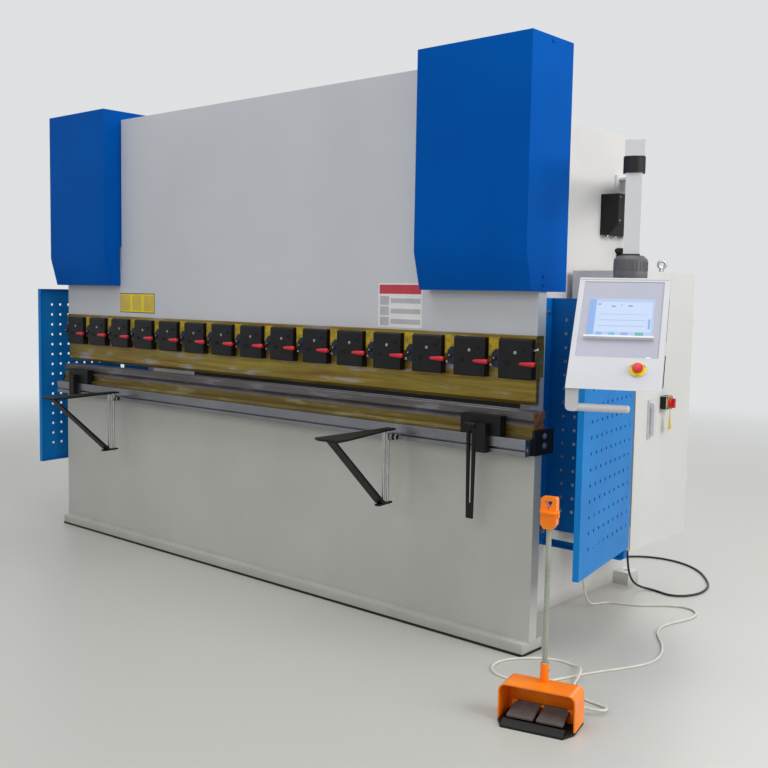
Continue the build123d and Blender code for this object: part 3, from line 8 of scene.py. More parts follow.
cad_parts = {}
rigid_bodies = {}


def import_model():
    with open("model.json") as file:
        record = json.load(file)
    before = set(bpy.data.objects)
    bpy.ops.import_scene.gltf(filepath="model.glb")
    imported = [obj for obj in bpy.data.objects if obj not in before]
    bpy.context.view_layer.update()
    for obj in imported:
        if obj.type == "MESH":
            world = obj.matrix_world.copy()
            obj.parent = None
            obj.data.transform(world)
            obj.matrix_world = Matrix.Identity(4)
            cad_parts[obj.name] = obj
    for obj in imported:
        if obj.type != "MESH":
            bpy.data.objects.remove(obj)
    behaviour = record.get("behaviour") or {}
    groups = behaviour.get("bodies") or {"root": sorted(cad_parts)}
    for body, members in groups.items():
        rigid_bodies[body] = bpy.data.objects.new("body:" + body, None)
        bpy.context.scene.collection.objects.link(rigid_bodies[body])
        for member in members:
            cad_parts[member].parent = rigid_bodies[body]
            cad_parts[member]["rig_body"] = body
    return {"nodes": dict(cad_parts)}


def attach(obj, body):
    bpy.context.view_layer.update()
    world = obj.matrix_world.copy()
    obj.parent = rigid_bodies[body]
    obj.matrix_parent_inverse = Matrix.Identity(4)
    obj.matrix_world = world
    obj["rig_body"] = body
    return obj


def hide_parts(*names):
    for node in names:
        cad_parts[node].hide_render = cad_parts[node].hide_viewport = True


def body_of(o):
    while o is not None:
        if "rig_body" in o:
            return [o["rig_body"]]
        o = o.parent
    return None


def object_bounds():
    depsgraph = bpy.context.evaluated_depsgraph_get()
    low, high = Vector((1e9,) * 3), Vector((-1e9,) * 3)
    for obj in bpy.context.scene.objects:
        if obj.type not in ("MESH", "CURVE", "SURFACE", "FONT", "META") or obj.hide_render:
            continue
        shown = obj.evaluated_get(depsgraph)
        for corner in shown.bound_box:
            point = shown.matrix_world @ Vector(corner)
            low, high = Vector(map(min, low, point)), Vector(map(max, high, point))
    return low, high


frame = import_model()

# Press brake: the looks of every piece. Sizes are in millimetres unless a line says metres.

cad_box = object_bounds()
nodes = frame["nodes"]
scene = bpy.context.scene
MM = 0.001
SHARP_ANGLE = math.radians(32)
SKY_COLOUR = "#E4E6E7"
SKY_STRENGTH = 0.95


# Materials: the tools that build them

def linear(code):
    """An sRGB hex value as the linear colour that a shader takes."""
    parts = [int(code[i:i + 2], 16) / 255 for i in (1, 3, 5)]
    bent = [c / 12.92 if c <= 0.04045 else ((c + 0.055) / 1.055) ** 2.4 for c in parts]
    return (*bent, 1.0)


def add(tree, kind, inputs=None, **settings):
    """Adds a node with its settings; an input is a value or another node's output."""
    node = tree.nodes.new(kind)
    for key, value in settings.items():
        setattr(node, key, value)
    for key, value in (inputs or {}).items():
        if isinstance(value, bpy.types.NodeSocket):
            tree.links.new(value, node.inputs[key])
        else:
            node.inputs[key].default_value = value
    return node


def new_material(name):
    """An empty material with its shader and the piece's own coordinates in metres."""
    material = bpy.data.materials.new(name)
    material.use_nodes = True
    tree = material.node_tree
    tree.nodes.clear()
    shader = add(tree, "ShaderNodeBsdfPrincipled")
    add(tree, "ShaderNodeOutputMaterial", {"Surface": shader.outputs[0]})
    place = add(tree, "ShaderNodeTexCoord").outputs["Object"]
    return material, tree, shader, place


def surface(
    name, colour, other, roughness, spread=0.06, metallic=0.0, patch=260, grain=2.5,
    bump=0.04, draw=(1, 1, 1), coat=0.0, sheen=0.5, dust=None, dust_top=0.0,
):
    """A finish with slow changes of colour over patch mm, a relief of grain mm and changes of
    gloss.
    draw stretches the grain; dust is a colour that gathers below dust_top mm."""
    material, tree, shader, place = new_material(name)
    shader.inputs["Specular IOR Level"].default_value = sheen
    slow = add(tree, "ShaderNodeTexNoise", {"Vector": place, "Scale": 1000 / patch, "Detail": 4.0})
    share = add(tree, "ShaderNodeMapRange", {
        "Value": slow.outputs["Fac"], "From Min": 0.35, "From Max": 0.68,
    })
    base = add(tree, "ShaderNodeMix", {
        0: share.outputs[0], 6: linear(colour), 7: linear(other),
    }, data_type="RGBA").outputs[2]
    if dust:
        # The dust's upper edge wanders over about 110 mm
        height = add(tree, "ShaderNodeSeparateXYZ", {"Vector": place}).outputs["Z"]
        smear = add(tree, "ShaderNodeTexNoise", {"Vector": place, "Scale": 9.0, "Detail": 6.0})
        edge = add(tree, "ShaderNodeMath", {
            0: smear.outputs["Fac"], 1: dust_top * MM * 1.6,
        }, operation="MULTIPLY")
        low = add(tree, "ShaderNodeMapRange", {
            "Value": height, "From Min": edge.outputs[0], "From Max": 0.0, "To Max": 0.5,
        })
        base = add(tree, "ShaderNodeMix", {
            0: low.outputs[0], 6: base, 7: linear(dust),
        }, data_type="RGBA").outputs[2]
    tree.links.new(base, shader.inputs["Base Color"])
    drawn = add(tree, "ShaderNodeMapping", {"Vector": place, "Scale": draw})
    fine = add(tree, "ShaderNodeTexNoise", {
        "Vector": drawn.outputs[0], "Scale": 1000 / grain, "Detail": 3.0,
    })
    gloss = add(tree, "ShaderNodeMapRange", {
        "Value": fine.outputs["Fac"], "From Min": 0.3, "From Max": 0.7,
        "To Min": max(roughness - spread, 0.02), "To Max": min(roughness + spread, 1.0),
    })
    tree.links.new(gloss.outputs[0], shader.inputs["Roughness"])
    relief = add(tree, "ShaderNodeBump", {
        "Height": fine.outputs["Fac"], "Strength": bump, "Distance": grain * MM * 0.25,
    })
    tree.links.new(relief.outputs[0], shader.inputs["Normal"])
    shader.inputs["Metallic"].default_value = metallic
    if coat:
        shader.inputs["Coat Weight"].default_value = coat
        shader.inputs["Coat Roughness"].default_value = 0.08
    return material


def oiled_steel(name, low_runs, high_runs, wiped, roughness):
    """Ground tool steel under oil that lies in runs along the bar: a pair of colours where its
    film is thin, one where it is thick; wiped is the colour of the bare patches between."""
    material, tree, shader, place = new_material(name)
    # Runs about 700 mm long, 110 mm deep and 40 mm high
    along = add(tree, "ShaderNodeMapping", {"Vector": place, "Scale": (1.4, 9.0, 26.0)})
    runs = add(tree, "ShaderNodeTexNoise", {
        "Vector": along.outputs[0], "Scale": 1.0, "Detail": 6.0, "Roughness": 0.62,
        "Distortion": 0.9,
    })
    low = add(tree, "ShaderNodeMapRange", {
        "Value": runs.outputs["Fac"], "From Min": 0.34, "From Max": 0.52,
    })
    high = add(tree, "ShaderNodeMapRange", {
        "Value": runs.outputs["Fac"], "From Min": 0.54, "From Max": 0.70,
    })
    first = add(tree, "ShaderNodeMix", {
        0: low.outputs[0], 6: linear(low_runs[0]), 7: linear(low_runs[1]),
    }, data_type="RGBA")
    second = add(tree, "ShaderNodeMix", {
        0: high.outputs[0], 6: first.outputs[2], 7: linear(high_runs),
    }, data_type="RGBA")
    # Bare patches about 200 mm long and 40 mm wide
    spots_place = add(tree, "ShaderNodeMapping", {"Vector": place, "Scale": (3.0, 14.0, 16.0)})
    spots = add(tree, "ShaderNodeTexNoise", {
        "Vector": spots_place.outputs[0], "Scale": 1.7, "Detail": 3.0,
    })
    bare = add(tree, "ShaderNodeMapRange", {
        "Value": spots.outputs["Fac"], "From Min": 0.56, "From Max": 0.70, "To Max": 0.85,
    })
    base = add(tree, "ShaderNodeMix", {
        0: bare.outputs[0], 6: second.outputs[2], 7: linear(wiped),
    }, data_type="RGBA")
    tree.links.new(base.outputs[2], shader.inputs["Base Color"])
    # Grinding lines, drawn as coarse as 4 mm so that they show
    ground = add(tree, "ShaderNodeMapping", {"Vector": place, "Scale": (0.02, 1.0, 1.0)})
    lines = add(tree, "ShaderNodeTexNoise", {
        "Vector": ground.outputs[0], "Scale": 260.0, "Detail": 2.0,
    })
    gloss = add(tree, "ShaderNodeMapRange", {
        "Value": spots.outputs["Fac"], "To Min": roughness - 0.12, "To Max": roughness + 0.12,
    })
    tree.links.new(gloss.outputs[0], shader.inputs["Roughness"])
    relief = add(tree, "ShaderNodeBump", {
        "Height": lines.outputs["Fac"], "Strength": 0.04, "Distance": 0.0004,
    })
    tree.links.new(relief.outputs[0], shader.inputs["Normal"])
    shader.inputs["Metallic"].default_value = 0.55
    shader.inputs["Coat Weight"].default_value = 0.2
    shader.inputs["Coat Roughness"].default_value = 0.25
    return material


def lit(name, colour, strength):
    """A field of a lit screen: it glows a little, under glass with finger smears of 25 mm."""
    material, tree, shader, place = new_material(name)
    shader.inputs["Base Color"].default_value = linear(colour)
    smears = add(tree, "ShaderNodeTexNoise", {"Vector": place, "Scale": 1000 / 25, "Detail": 3.0})
    gloss = add(tree, "ShaderNodeMapRange", {
        "Value": smears.outputs["Fac"], "From Min": 0.3, "From Max": 0.7,
        "To Min": 0.12, "To Max": 0.26,
    })
    tree.links.new(gloss.outputs[0], shader.inputs["Roughness"])
    relief = add(tree, "ShaderNodeBump", {
        "Height": smears.outputs["Fac"], "Strength": 0.02, "Distance": 0.0001,
    })
    tree.links.new(relief.outputs[0], shader.inputs["Normal"])
    shader.inputs["Emission Color"].default_value = linear(colour)
    shader.inputs["Emission Strength"].default_value = strength
    return material


def film(name, colour, other, roughness=0.45):
    """A printed plastic film: one flat colour, its gloss broken by a fine grain."""
    return surface(name, colour, other, roughness, patch=60, grain=0.9, bump=0.04)


# Materials: what each is made of and what that gives the eye

# Sprayed polyester on the bed: an even pale grey, painted a shade darker than the same paint on the
# ram as painted shade, and a trace of floor dust near its foot.
shaded_bed_paint = surface(
    "bed_enamel_painted_shade", "#BDBDB6", "#B2B2AC", 0.42, patch=700, grain=3.5, bump=0.05, sheen=0.35,
    dust="#8F8D86", dust_top=70,
)
# The same on the side frames, painted brighter than on the ram and bed as painted light on their
# flanks, with a soft orange-peel sheen.
lit_frame_paint = surface(
    "frame_enamel_painted_light", "#DCDAD7", "#D5D3D0", 0.40, patch=600, grain=3.5, bump=0.05,
    dust="#8F8D86", dust_top=70,
)
# The same on the ram's broad face: light grey, smooth, faint clouds and a low sheen.
ram_paint = surface(
    "ram_sprayed_enamel", "#C7C9CE", "#BFC1C7", 0.40, patch=900, grain=3.5, bump=0.04, sheen=0.35,
)
# Textured powder coat on the cabinet: off-white, matt, with a fine orange peel.
cabinet_coat = surface(
    "cabinet_powder_coat", "#D8D7D4", "#D1D0CD", 0.46, patch=500, grain=1.6, bump=0.10,
    dust="#9A9892", dust_top=40,
)
# Powder coat on the console's sheet shell: a cooler white, a shade smoother.
console_coat = surface(
    "console_powder_coat", "#C7C7CA", "#C1C1C5", 0.42, patch=300, grain=1.4, bump=0.08,
)
# Powder coat on the extruded arm: pale and even, so its edges read as crisp lines.
arm_coat = surface(
    "arm_powder_coat", "#D0D0D4", "#CACACE", 0.40, patch=250, grain=1.4, bump=0.06,
)
# Enamel on the covers' folded sheet: deep even blue with a faint, broad gloss.
cover_blue = surface(
    "cover_gloss_enamel", "#0056AE", "#004EA2", 0.42, patch=500, grain=3.0, bump=0.05, sheen=0.03,
)
# Enamel on the guards' fixed wings: the same blue, a little livelier round the holes.
guard_blue = surface(
    "guard_gloss_enamel", "#0672C0", "#0568B2", 0.36, patch=260, grain=2.5, bump=0.05, sheen=0.12,
)
# The same enamel on the guard doors, painted lighter than on the wings: painted light from the
# daylight beside the machine.
lit_door_blue = surface(
    "door_enamel_painted_light", "#1480CC", "#1076C0", 0.36, patch=260, grain=2.5, bump=0.05, sheen=0.12,
)
# Ground steel of the table's rail: silver grey, drawn lengthwise by the grinding wheel.
ground_steel = surface(
    "rail_ground_steel", "#9A9AA0", "#85868C", 0.34, metallic=1.0, patch=340, grain=0.9,
    bump=0.12, draw=(0.03, 1, 1), spread=0.1,
)
# Bright chrome on the supports: it mirrors floor and lamps in long clean streaks.
chrome = surface(
    "bracket_bright_chrome", "#C9CACB", "#B9BBBE", 0.16, metallic=1.0, patch=60, grain=1.2,
    bump=0.02, spread=0.05,
)
# Satin nickel on the cabinet's handle: pale metal with a blurred highlight.
satin_nickel = surface(
    "handle_satin_nickel", "#D9D9DB", "#CECFD2", 0.40, metallic=0.25, patch=40, grain=0.9,
    bump=0.04,
)
# Zinc plate on bolts and screws: small bright glints with a cloudy tone.
zinc = surface(
    "bolt_zinc_plate", "#B9BABA", "#A3A5A8", 0.30, metallic=1.0, patch=18, grain=0.8, bump=0.05,
)
# Black oxide on milled steel: near black, with a soft sheen that picks out the edges.
black_oxide = surface(
    "clamp_black_oxide", "#18181C", "#101013", 0.44, metallic=0.3, sheen=0.35, patch=45,
    grain=1.1, bump=0.08, draw=(0.25, 1, 1), spread=0.09,
)
# Blued spring steel on the clamps' ears: navy that goes black in the shade.
ear_blue = surface(
    "ear_blued_steel", "#14233C", "#0F1828", 0.36, metallic=0.3, patch=30, grain=1.2, bump=0.05,
)
# Brushed black enamel on supports and stops: flat black that shows their outline.
black_paint = surface(
    "bracket_black_enamel", "#0F0F10", "#0A0A0B", 0.46, patch=120, grain=1.8, bump=0.06,
    sheen=0.25,
)
# Black glass-filled polyamide on knobs and boxes: dull, with a fine moulded grain.
black_moulding = surface(
    "moulded_black_polyamide", "#161618", "#101012", 0.55, sheen=0.3, patch=60, grain=0.8,
    bump=0.10,
)
# Red acetal on levers, knob and emergency stop: saturated, with a tight highlight.
red_moulding = surface(
    "moulded_red_acetal", "#D61F30", "#C2182A", 0.30, patch=40, grain=1.0, bump=0.03,
)
# Yellow chromate on the spacers between the clamps: brassy with duller patches.
gold_plate = surface(
    "spacer_yellow_chromate", "#C4A51A", "#8C7A2C", 0.42, metallic=0.4, patch=22, grain=1.0,
    bump=0.06,
)
# Grey machine enamel on the cylinders: mid grey, semi-gloss over turned steel.
machined_grey = surface(
    "cylinder_machined_enamel", "#767A80", "#6B6F75", 0.42, patch=120, grain=1.6, bump=0.06,
)
# Hard chrome on the piston rods: a near mirror.
hard_chrome = surface(
    "rod_hard_chrome", "#D0D2D4", "#C2C5C8", 0.10, metallic=1.0, patch=90, grain=0.7,
    bump=0.01, spread=0.03,
)
# Bare cast iron of the pump: dark, matt and rough from the mould.
cast_iron = surface(
    "pump_cast_iron", "#4C4D50", "#3C3D40", 0.62, metallic=0.3, patch=40, grain=2.2, bump=0.30,
)
# Hammered enamel on the motor: dark blue with small dimples that break its shine.
motor_enamel = surface(
    "motor_hammered_enamel", "#28507F", "#21446E", 0.42, patch=70, grain=2.6, bump=0.18,
)
# Sprayed enamel on the oil tank: plain light grey, slightly clouded.
tank_enamel = surface(
    "tank_sprayed_enamel", "#B4B5B5", "#A9AAAB", 0.44, patch=420, grain=3.0, bump=0.06,
)
# Phosphated steel of the valve block: dark grey with a dry metal sheen.
valve_steel = surface(
    "valve_phosphated_steel", "#6A6C6E", "#56585B", 0.50, metallic=0.7, patch=35, grain=1.2,
    bump=0.08,
)
# Cold-drawn steel of pipes and ball screws: clean, bright, round highlights.
drawn_pipe = surface(
    "pipe_drawn_steel", "#A8AAAC", "#8D9094", 0.28, metallic=1.0, patch=60, grain=0.9, bump=0.04,
)
# Ground steel of the back gauge: grey, its grinding lines across the machine.
gauge_steel = surface(
    "gauge_ground_steel", "#93959A", "#7D8086", 0.32, metallic=1.0, patch=120, grain=0.9,
    bump=0.08, draw=(1, 0.05, 1),
)
# Dark enamel on the gauge's beam: slate grey, semi-gloss.
gauge_enamel = surface(
    "gauge_dark_enamel", "#3B3F45", "#33373D", 0.40, patch=150, grain=2.0, bump=0.05,
)
# Orange enamel on the pedal's cast aluminium: rich and glossy, with faint casting ripples.
pedal_enamel = surface(
    "pedal_orange_enamel", "#FF8A12", "#F87C0A", 0.32, patch=90, grain=2.2, bump=0.06, coat=0.2,
    sheen=0.25,
)
# Moulded rubber on the treads: warm grey, dull, with a coarse grip.
tread_rubber = surface(
    "tread_moulded_rubber", "#665D59", "#554D4A", 0.62, patch=30, grain=1.2, bump=0.20,
)
# Brushed steel of the pedal's pole under lacquer: greenish grey, a soft line of light.
pole_enamel = surface(
    "pole_brushed_steel", "#A9AFA2", "#979D91", 0.30, metallic=0.55, patch=80, grain=1.6,
    bump=0.04,
)
# White PVC sheath: warm and slightly dirty.
white_sheath = surface(
    "sheath_white_pvc", "#DDD9D0", "#CFCABF", 0.48, patch=60, grain=1.2, bump=0.06,
)
# Black rubber sheath: dull, it shows as a dark line on the floor.
black_sheath = surface(
    "sheath_black_rubber", "#242424", "#1B1B1B", 0.58, patch=60, grain=1.2, bump=0.06,
)
# Painted cast collar under the drop tube: warm dark grey, a little pitted.
collar_grey = surface(
    "collar_cast_grey", "#5B5A5F", "#504F55", 0.45, patch=40, grain=1.4, bump=0.10,
)
# Matt printed film of the bezel: an even lilac grey round the screen.
bezel_film = surface(
    "bezel_printed_film", "#AEAEBC", "#A8A8B7", 0.50, patch=200, grain=0.9, bump=0.05,
)
# Varnished card of the tag: mustard yellow, slightly uneven.
tag_card = surface(
    "tag_varnished_card", "#CDB44A", "#C2A83E", 0.5, patch=40, grain=0.9, bump=0.05,
)
# Films of the plates: flat fields of yellow, white, red, grey and black.
yellow_film = film("plate_yellow_film", "#E9D31A", "#E0C813", 0.42)
white_film = film("plate_white_film", "#E6E4E4", "#DEDCDD")
red_film = film("plate_red_film", "#C2384A", "#B73145")
grey_film = film("plate_grey_film", "#B8B6BC", "#AEACB3")
dark_film = film("plate_dark_film", "#3A3A33", "#33332D")
# Hardened punch under preserving oil: olive gold with brown runs and paler wiped patches.
punch_oiled = oiled_steel(
    "punch_oiled_steel", ("#7A520C", "#8C7A2C"), "#AC9430", "#A29BA2", 0.38,
)
# The die's ground faces under the same oil: more lilac grey than gold.
die_oiled = oiled_steel("die_oiled_steel", ("#4A4642", "#5C5857"), "#6E6A70", "#8C8794", 0.42)
# Thick oil in the die's bands and on its bar: dark gold.
die_gold = oiled_steel("die_oil_film", ("#51400F", "#6B5A1E"), "#84732A", "#8E8560", 0.40)
# The die's top lands: wiped dull and dark by the sheets that slide over them.
die_land = surface(
    "die_wiped_steel", "#68646A", "#544F54", 0.58, metallic=0.25, patch=160, grain=2.0,
    bump=0.02, sheen=0.2,
)
# Flame-cut end of the die: copper brown rust.
die_end = surface(
    "die_rusted_end", "#C07A36", "#8A5A34", 0.5, metallic=0.4, patch=25, grain=1.5, bump=0.2,
)
# The screen's lit glass in its fields: pale blue ground, deeper column, cyan foot, light page,
# one green key and grey marks.
screen_blue = lit("screen_pale_glass", "#9DB4D9", 0.04)
screen_side = lit("screen_blue_column", "#779AD0", 0.04)
screen_foot = lit("screen_cyan_foot", "#62A4C4", 0.05)
screen_field = lit("screen_light_field", "#B2C2DD", 0.04)
screen_key = lit("screen_green_key", "#4FA088", 0.05)
screen_ink = lit("screen_grey_mark", "#56648A", 0.03)


# Meshes

def own_body(node):
    """The body that a CAD node rides on."""
    return body_of(nodes[node])[0]


def solid_of(node):
    """A merged copy of a CAD node with its flat faces joined again."""
    form = bmesh.new()
    form.from_mesh(nodes[node].data)
    bmesh.ops.remove_doubles(form, verts=form.verts, dist=1e-5)
    bmesh.ops.dissolve_limit(
        form, angle_limit=math.radians(0.4), verts=form.verts, edges=form.edges,
    )
    return form


def through(mesh, give_modifiers):
    """What a mesh becomes through the modifiers that a function gives it."""
    holder = bpy.data.objects.new("holder", mesh)
    scene.collection.objects.link(holder)
    give_modifiers(holder.modifiers)
    ready = bpy.data.meshes.new_from_object(
        holder.evaluated_get(bpy.context.evaluated_depsgraph_get())
    )
    bpy.data.objects.remove(holder)
    return ready


def plain_mesh(form, name="form"):
    """A form as a mesh; the form is used up."""
    mesh = bpy.data.meshes.new(name)
    form.to_mesh(mesh)
    form.free()
    return mesh


def finished(form, edge=0.0, thickness=0.0):
    """A plain mesh from a form: thickness and small rounded edges in mm, then smooth shading."""
    def wall_and_edges(modifiers):
        if thickness:
            wall = modifiers.new("wall", "SOLIDIFY")
            wall.thickness = thickness * MM
            wall.offset = -1.0
        if edge:
            soft = modifiers.new("edge", "BEVEL")
            soft.width = edge * MM
            soft.segments = 2
            soft.limit_method = "ANGLE"
            soft.angle_limit = SHARP_ANGLE
            soft.use_clamp_overlap = True

    def level_normals(modifiers):
        modifiers.new("level", "WEIGHTED_NORMAL").keep_sharp = True

    ready = through(plain_mesh(form), wall_and_edges)
    ready.shade_smooth()
    ready.set_sharp_from_angle(angle=SHARP_ANGLE)
    return through(ready, level_normals)


def outwards(form):
    """Turns every face of a closed form outwards."""
    bmesh.ops.recalc_face_normals(form, faces=form.faces)
    return form


def piece(name, mesh, body, material, stands_for=()):
    """Puts a finished mesh in the scene, on its body and with its finish."""
    thing = bpy.data.objects.new(name, mesh)
    scene.collection.objects.link(thing)
    if material:
        mesh.materials.clear()
        mesh.materials.append(material)
    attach(thing, body)
    if stands_for:
        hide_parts(*stands_for)
    return thing


def shaped(name, form, node, material, edge=0.0):
    """A form turned outwards and finished, as one more piece on a CAD node's body."""
    return piece(name, finished(outwards(form), edge), own_body(node), material)


def stand_in(name, mesh, node, material):
    """A mesh that is shown in place of a CAD node."""
    return piece(name, mesh, own_body(node), material, (node,))


def dressed(node, material, edge=1.5, form=None):
    """A CAD node's own form, or the one given for it, with its edges rounded a little."""
    return stand_in(node + "_finished", finished(form or solid_of(node), edge), node, material)


def shaded(thing, materials, choose):
    """Gives a piece several finishes; choose takes a face and says which one it wears."""
    for material in materials:
        thing.data.materials.append(material)
    for face in thing.data.polygons:
        face.material_index = choose(face)


def block(form, low, high, taper=0.0, place=Matrix.Identity(4)):
    """Adds a block between two corners in mm; taper draws its top in on each side."""
    x0, y0, z0 = (v * MM for v in low)
    x1, y1, z1 = (v * MM for v in high)
    t = taper * MM
    corners = [form.verts.new(place @ Vector(spot)) for spot in (
        (x0, y0, z0), (x1, y0, z0), (x1, y1, z0), (x0, y1, z0),
        (x0 + t, y0 + t, z1), (x1 - t, y0 + t, z1), (x1 - t, y1 - t, z1), (x0 + t, y1 - t, z1),
    )]
    for ring in (
        (0, 3, 2, 1), (4, 5, 6, 7), (0, 1, 5, 4), (1, 2, 6, 5), (2, 3, 7, 6), (3, 0, 4, 7),
    ):
        form.faces.new([corners[i] for i in ring])


def prism(form, outline, axis, start, end):
    """Adds a prism: an outline of points in mm, pushed along x, y or z from start to end."""
    def spot(a, b, c):
        return {"x": (c, a, b), "y": (a, c, b), "z": (a, b, c)}[axis]
    near, far = (
        [form.verts.new([v * MM for v in spot(a, b, c)]) for a, b in outline] for c in (start, end)
    )
    form.faces.new(near)
    form.faces.new(far[::-1])
    for i in range(len(outline)):
        j = (i + 1) % len(outline)
        form.faces.new([near[j], near[i], far[i], far[j]])


def turned(form, outline, place=Matrix.Identity(4), steps=24):
    """Adds a turned form: (radius, height) points in mm about place's Z axis, poles closed."""
    rings = []
    for radius, height in outline:
        if radius < 1e-6:
            rings.append([form.verts.new(place @ Vector((0, 0, height * MM)))])
            continue
        ring = []
        for i in range(steps):
            a = 2 * math.pi * i / steps
            ring.append(form.verts.new(place @ Vector((
                radius * MM * math.cos(a), radius * MM * math.sin(a), height * MM,
            ))))
        rings.append(ring)
    for low, high in zip(rings, rings[1:]):
        for i in range(steps):
            j = (i + 1) % steps
            corners = [
                low[i % len(low)], low[j % len(low)], high[j % len(high)], high[i % len(high)],
            ]
            seen = list(dict.fromkeys(corners))
            if len(seen) > 2:
                form.faces.new(seen)


def arc(x, y, radius, start, turn, steps):
    """Points on an arc about a centre, from start degrees and turn degrees onwards."""
    angles = [math.radians(start + turn * i / (steps - 1)) for i in range(steps)]
    return [(x + radius * math.cos(a), y + radius * math.sin(a)) for a in angles]


def rounded(x0, x1, y0, y1, radius, steps):
    """Outline of a rectangle with round corners."""
    return (
        arc(x1 - radius, y1 - radius, radius, 0, 90, steps)
        + arc(x0 + radius, y1 - radius, radius, 90, 90, steps)
        + arc(x0 + radius, y0 + radius, radius, 180, 90, steps)
        + arc(x1 - radius, y0 + radius, radius, 270, 90, steps)
    )


def at(x, y, z, turn=0.0, about="Z"):
    """A place in mm, turned by degrees about one axis."""
    spot = Matrix.Translation((x * MM, y * MM, z * MM))
    return spot @ Matrix.Rotation(math.radians(turn), 4, about)


def facing(x, y, z, direction):
    """A place in mm whose Z axis points along a direction."""
    turn = Vector((0, 0, 1)).rotation_difference(Vector(direction)).to_matrix().to_4x4()
    return Matrix.Translation((x * MM, y * MM, z * MM)) @ turn


# Directions as the operator at the front sees them
RIGHT, BACK, UP = (1, 0, 0), (0, 1, 0), (0, 0, 1)
LEFT, FRONT, DOWN = (-1, 0, 0), (0, -1, 0), (0, 0, -1)


def placed(form, place):
    """Moves a form to its place on the machine."""
    bmesh.ops.transform(form, matrix=place, verts=form.verts)
    return form


def repeat_tree():
    """Geometry nodes that copy a piece along a row or round a ring, and each input's identifier."""
    tree = bpy.data.node_groups.new("repeat_in_a_row", "GeometryNodeTree")
    sockets = {}
    for label, kind in (
        ("Piece", "NodeSocketGeometry"), ("Count", "NodeSocketInt"),
        ("Start", "NodeSocketVector"), ("Step", "NodeSocketVector"),
        ("Turn", "NodeSocketVector"), ("Finish", "NodeSocketMaterial"),
    ):
        sockets[label] = tree.interface.new_socket(label, in_out="INPUT", socket_type=kind)
    tree.interface.new_socket("Row", in_out="OUTPUT", socket_type="NodeSocketGeometry")
    given = add(tree, "NodeGroupInput").outputs
    line = add(tree, "GeometryNodeMeshLine", {
        "Count": given["Count"], "Start Location": given["Start"], "Offset": given["Step"],
    })
    order = add(tree, "GeometryNodeInputIndex")
    turn = add(tree, "ShaderNodeVectorMath", {
        0: given["Turn"], "Scale": order.outputs[0],
    }, operation="SCALE")
    turn_all = add(tree, "FunctionNodeEulerToRotation", {0: turn.outputs[0]})
    copies = add(tree, "GeometryNodeInstanceOnPoints", {
        "Points": line.outputs[0], "Instance": given["Piece"], "Rotation": turn_all.outputs[0],
    })
    real = add(tree, "GeometryNodeRealizeInstances", {0: copies.outputs[0]})
    welded = add(tree, "GeometryNodeMergeByDistance", {
        "Geometry": real.outputs[0], "Distance": 1e-5,
    })
    coated = add(tree, "GeometryNodeSetMaterial", {
        "Geometry": welded.outputs[0], "Material": given["Finish"],
    })
    add(tree, "NodeGroupOutput", {0: coated.outputs[0]})
    return tree, {label: socket.identifier for label, socket in sockets.items()}


row_tree, row_inputs = repeat_tree()


def repeated(mesh, count, step, start=(0, 0, 0), turn=(0, 0, 0), finish=None):
    """A mesh copied count times, each step mm further and turned more, as one plain mesh."""
    def row(modifiers):
        copies = modifiers.new("row", "NODES")
        copies.node_group = row_tree
        copies[row_inputs["Count"]] = count
        copies[row_inputs["Start"]] = [v * MM for v in start]
        copies[row_inputs["Step"]] = [v * MM for v in step]
        copies[row_inputs["Turn"]] = [math.radians(v) for v in turn]
        copies[row_inputs["Finish"]] = finish

    return through(mesh, row)


def form_of(mesh):
    """A mesh as a form again."""
    form = bmesh.new()
    form.from_mesh(mesh)
    return form


def hex_head(form, place, radius, height):
    """Adds a hexagon bolt head on its washer, radius and height in mm."""
    washer = height * 0.3
    turned(form, [
        (0, 0), (radius * 1.35, 0), (radius * 1.35, height * 0.25), (radius * 1.05, washer),
    ], place, 20)
    turned(form, [
        (radius, washer), (radius, height * 0.92), (radius * 0.86, height), (0, height),
    ], place, 6)


def socket_head(form, place, radius, height):
    """Adds a socket cap screw head with its sunk socket."""
    turned(form, [
        (0, 0), (radius, 0), (radius, height * 0.9), (radius * 0.9, height),
        (radius * 0.5, height), (radius * 0.5, height * 0.35), (0, height * 0.35),
    ], place, 12)


# Camera at the photograph's place: degrees, metres and pixels as solved from its edges

CAMERA_SPOT = (3.675, -3.243, 1.362)
YAW, PITCH, ROLL = (math.radians(v) for v in (41.347, 5.022, 1.004))
FOCAL_PIXELS = 1022.3
PICTURE_PIXELS = 768
forward = Vector((
    -math.sin(YAW) * math.cos(PITCH), math.cos(YAW) * math.cos(PITCH), -math.sin(PITCH),
))
side = Vector((math.cos(YAW), math.sin(YAW), 0))
above = side.cross(forward)
right = side * math.cos(ROLL) + above * math.sin(ROLL)
up = above * math.cos(ROLL) - side * math.sin(ROLL)
camera_data = bpy.data.cameras.new("camera")
camera_data.sensor_width = 36
camera_data.lens = 36 * FOCAL_PIXELS / PICTURE_PIXELS
camera_data.clip_end = 60
camera = bpy.data.objects.new("camera", camera_data)
turn = Matrix((right, up, -forward)).transposed().to_4x4()
camera.matrix_world = Matrix.Translation(CAMERA_SPOT) @ turn
scene.collection.objects.link(camera)
scene.camera = camera


# Cords

def cable(name, points, diameter, material, node):
    """A free cable through its points in mm, on the same smooth curve as its solid."""
    line = bpy.data.curves.new(name, "CURVE")
    line.dimensions = "3D"
    line.resolution_u = 10
    line.bevel_depth = diameter * MM / 2
    line.bevel_resolution = 5
    run = line.splines.new("NURBS")
    run.points.add(len(points) - 1)
    for spot, point in zip(run.points, points):
        spot.co = (*[v * MM for v in point], 1.0)
    run.order_u = 3
    run.use_endpoint_u = True
    line.use_fill_caps = True
    thing = bpy.data.objects.new(name, line)
    scene.collection.objects.link(thing)
    line.materials.append(material)
    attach(thing, own_body(node))
    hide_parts(node)
    return thing


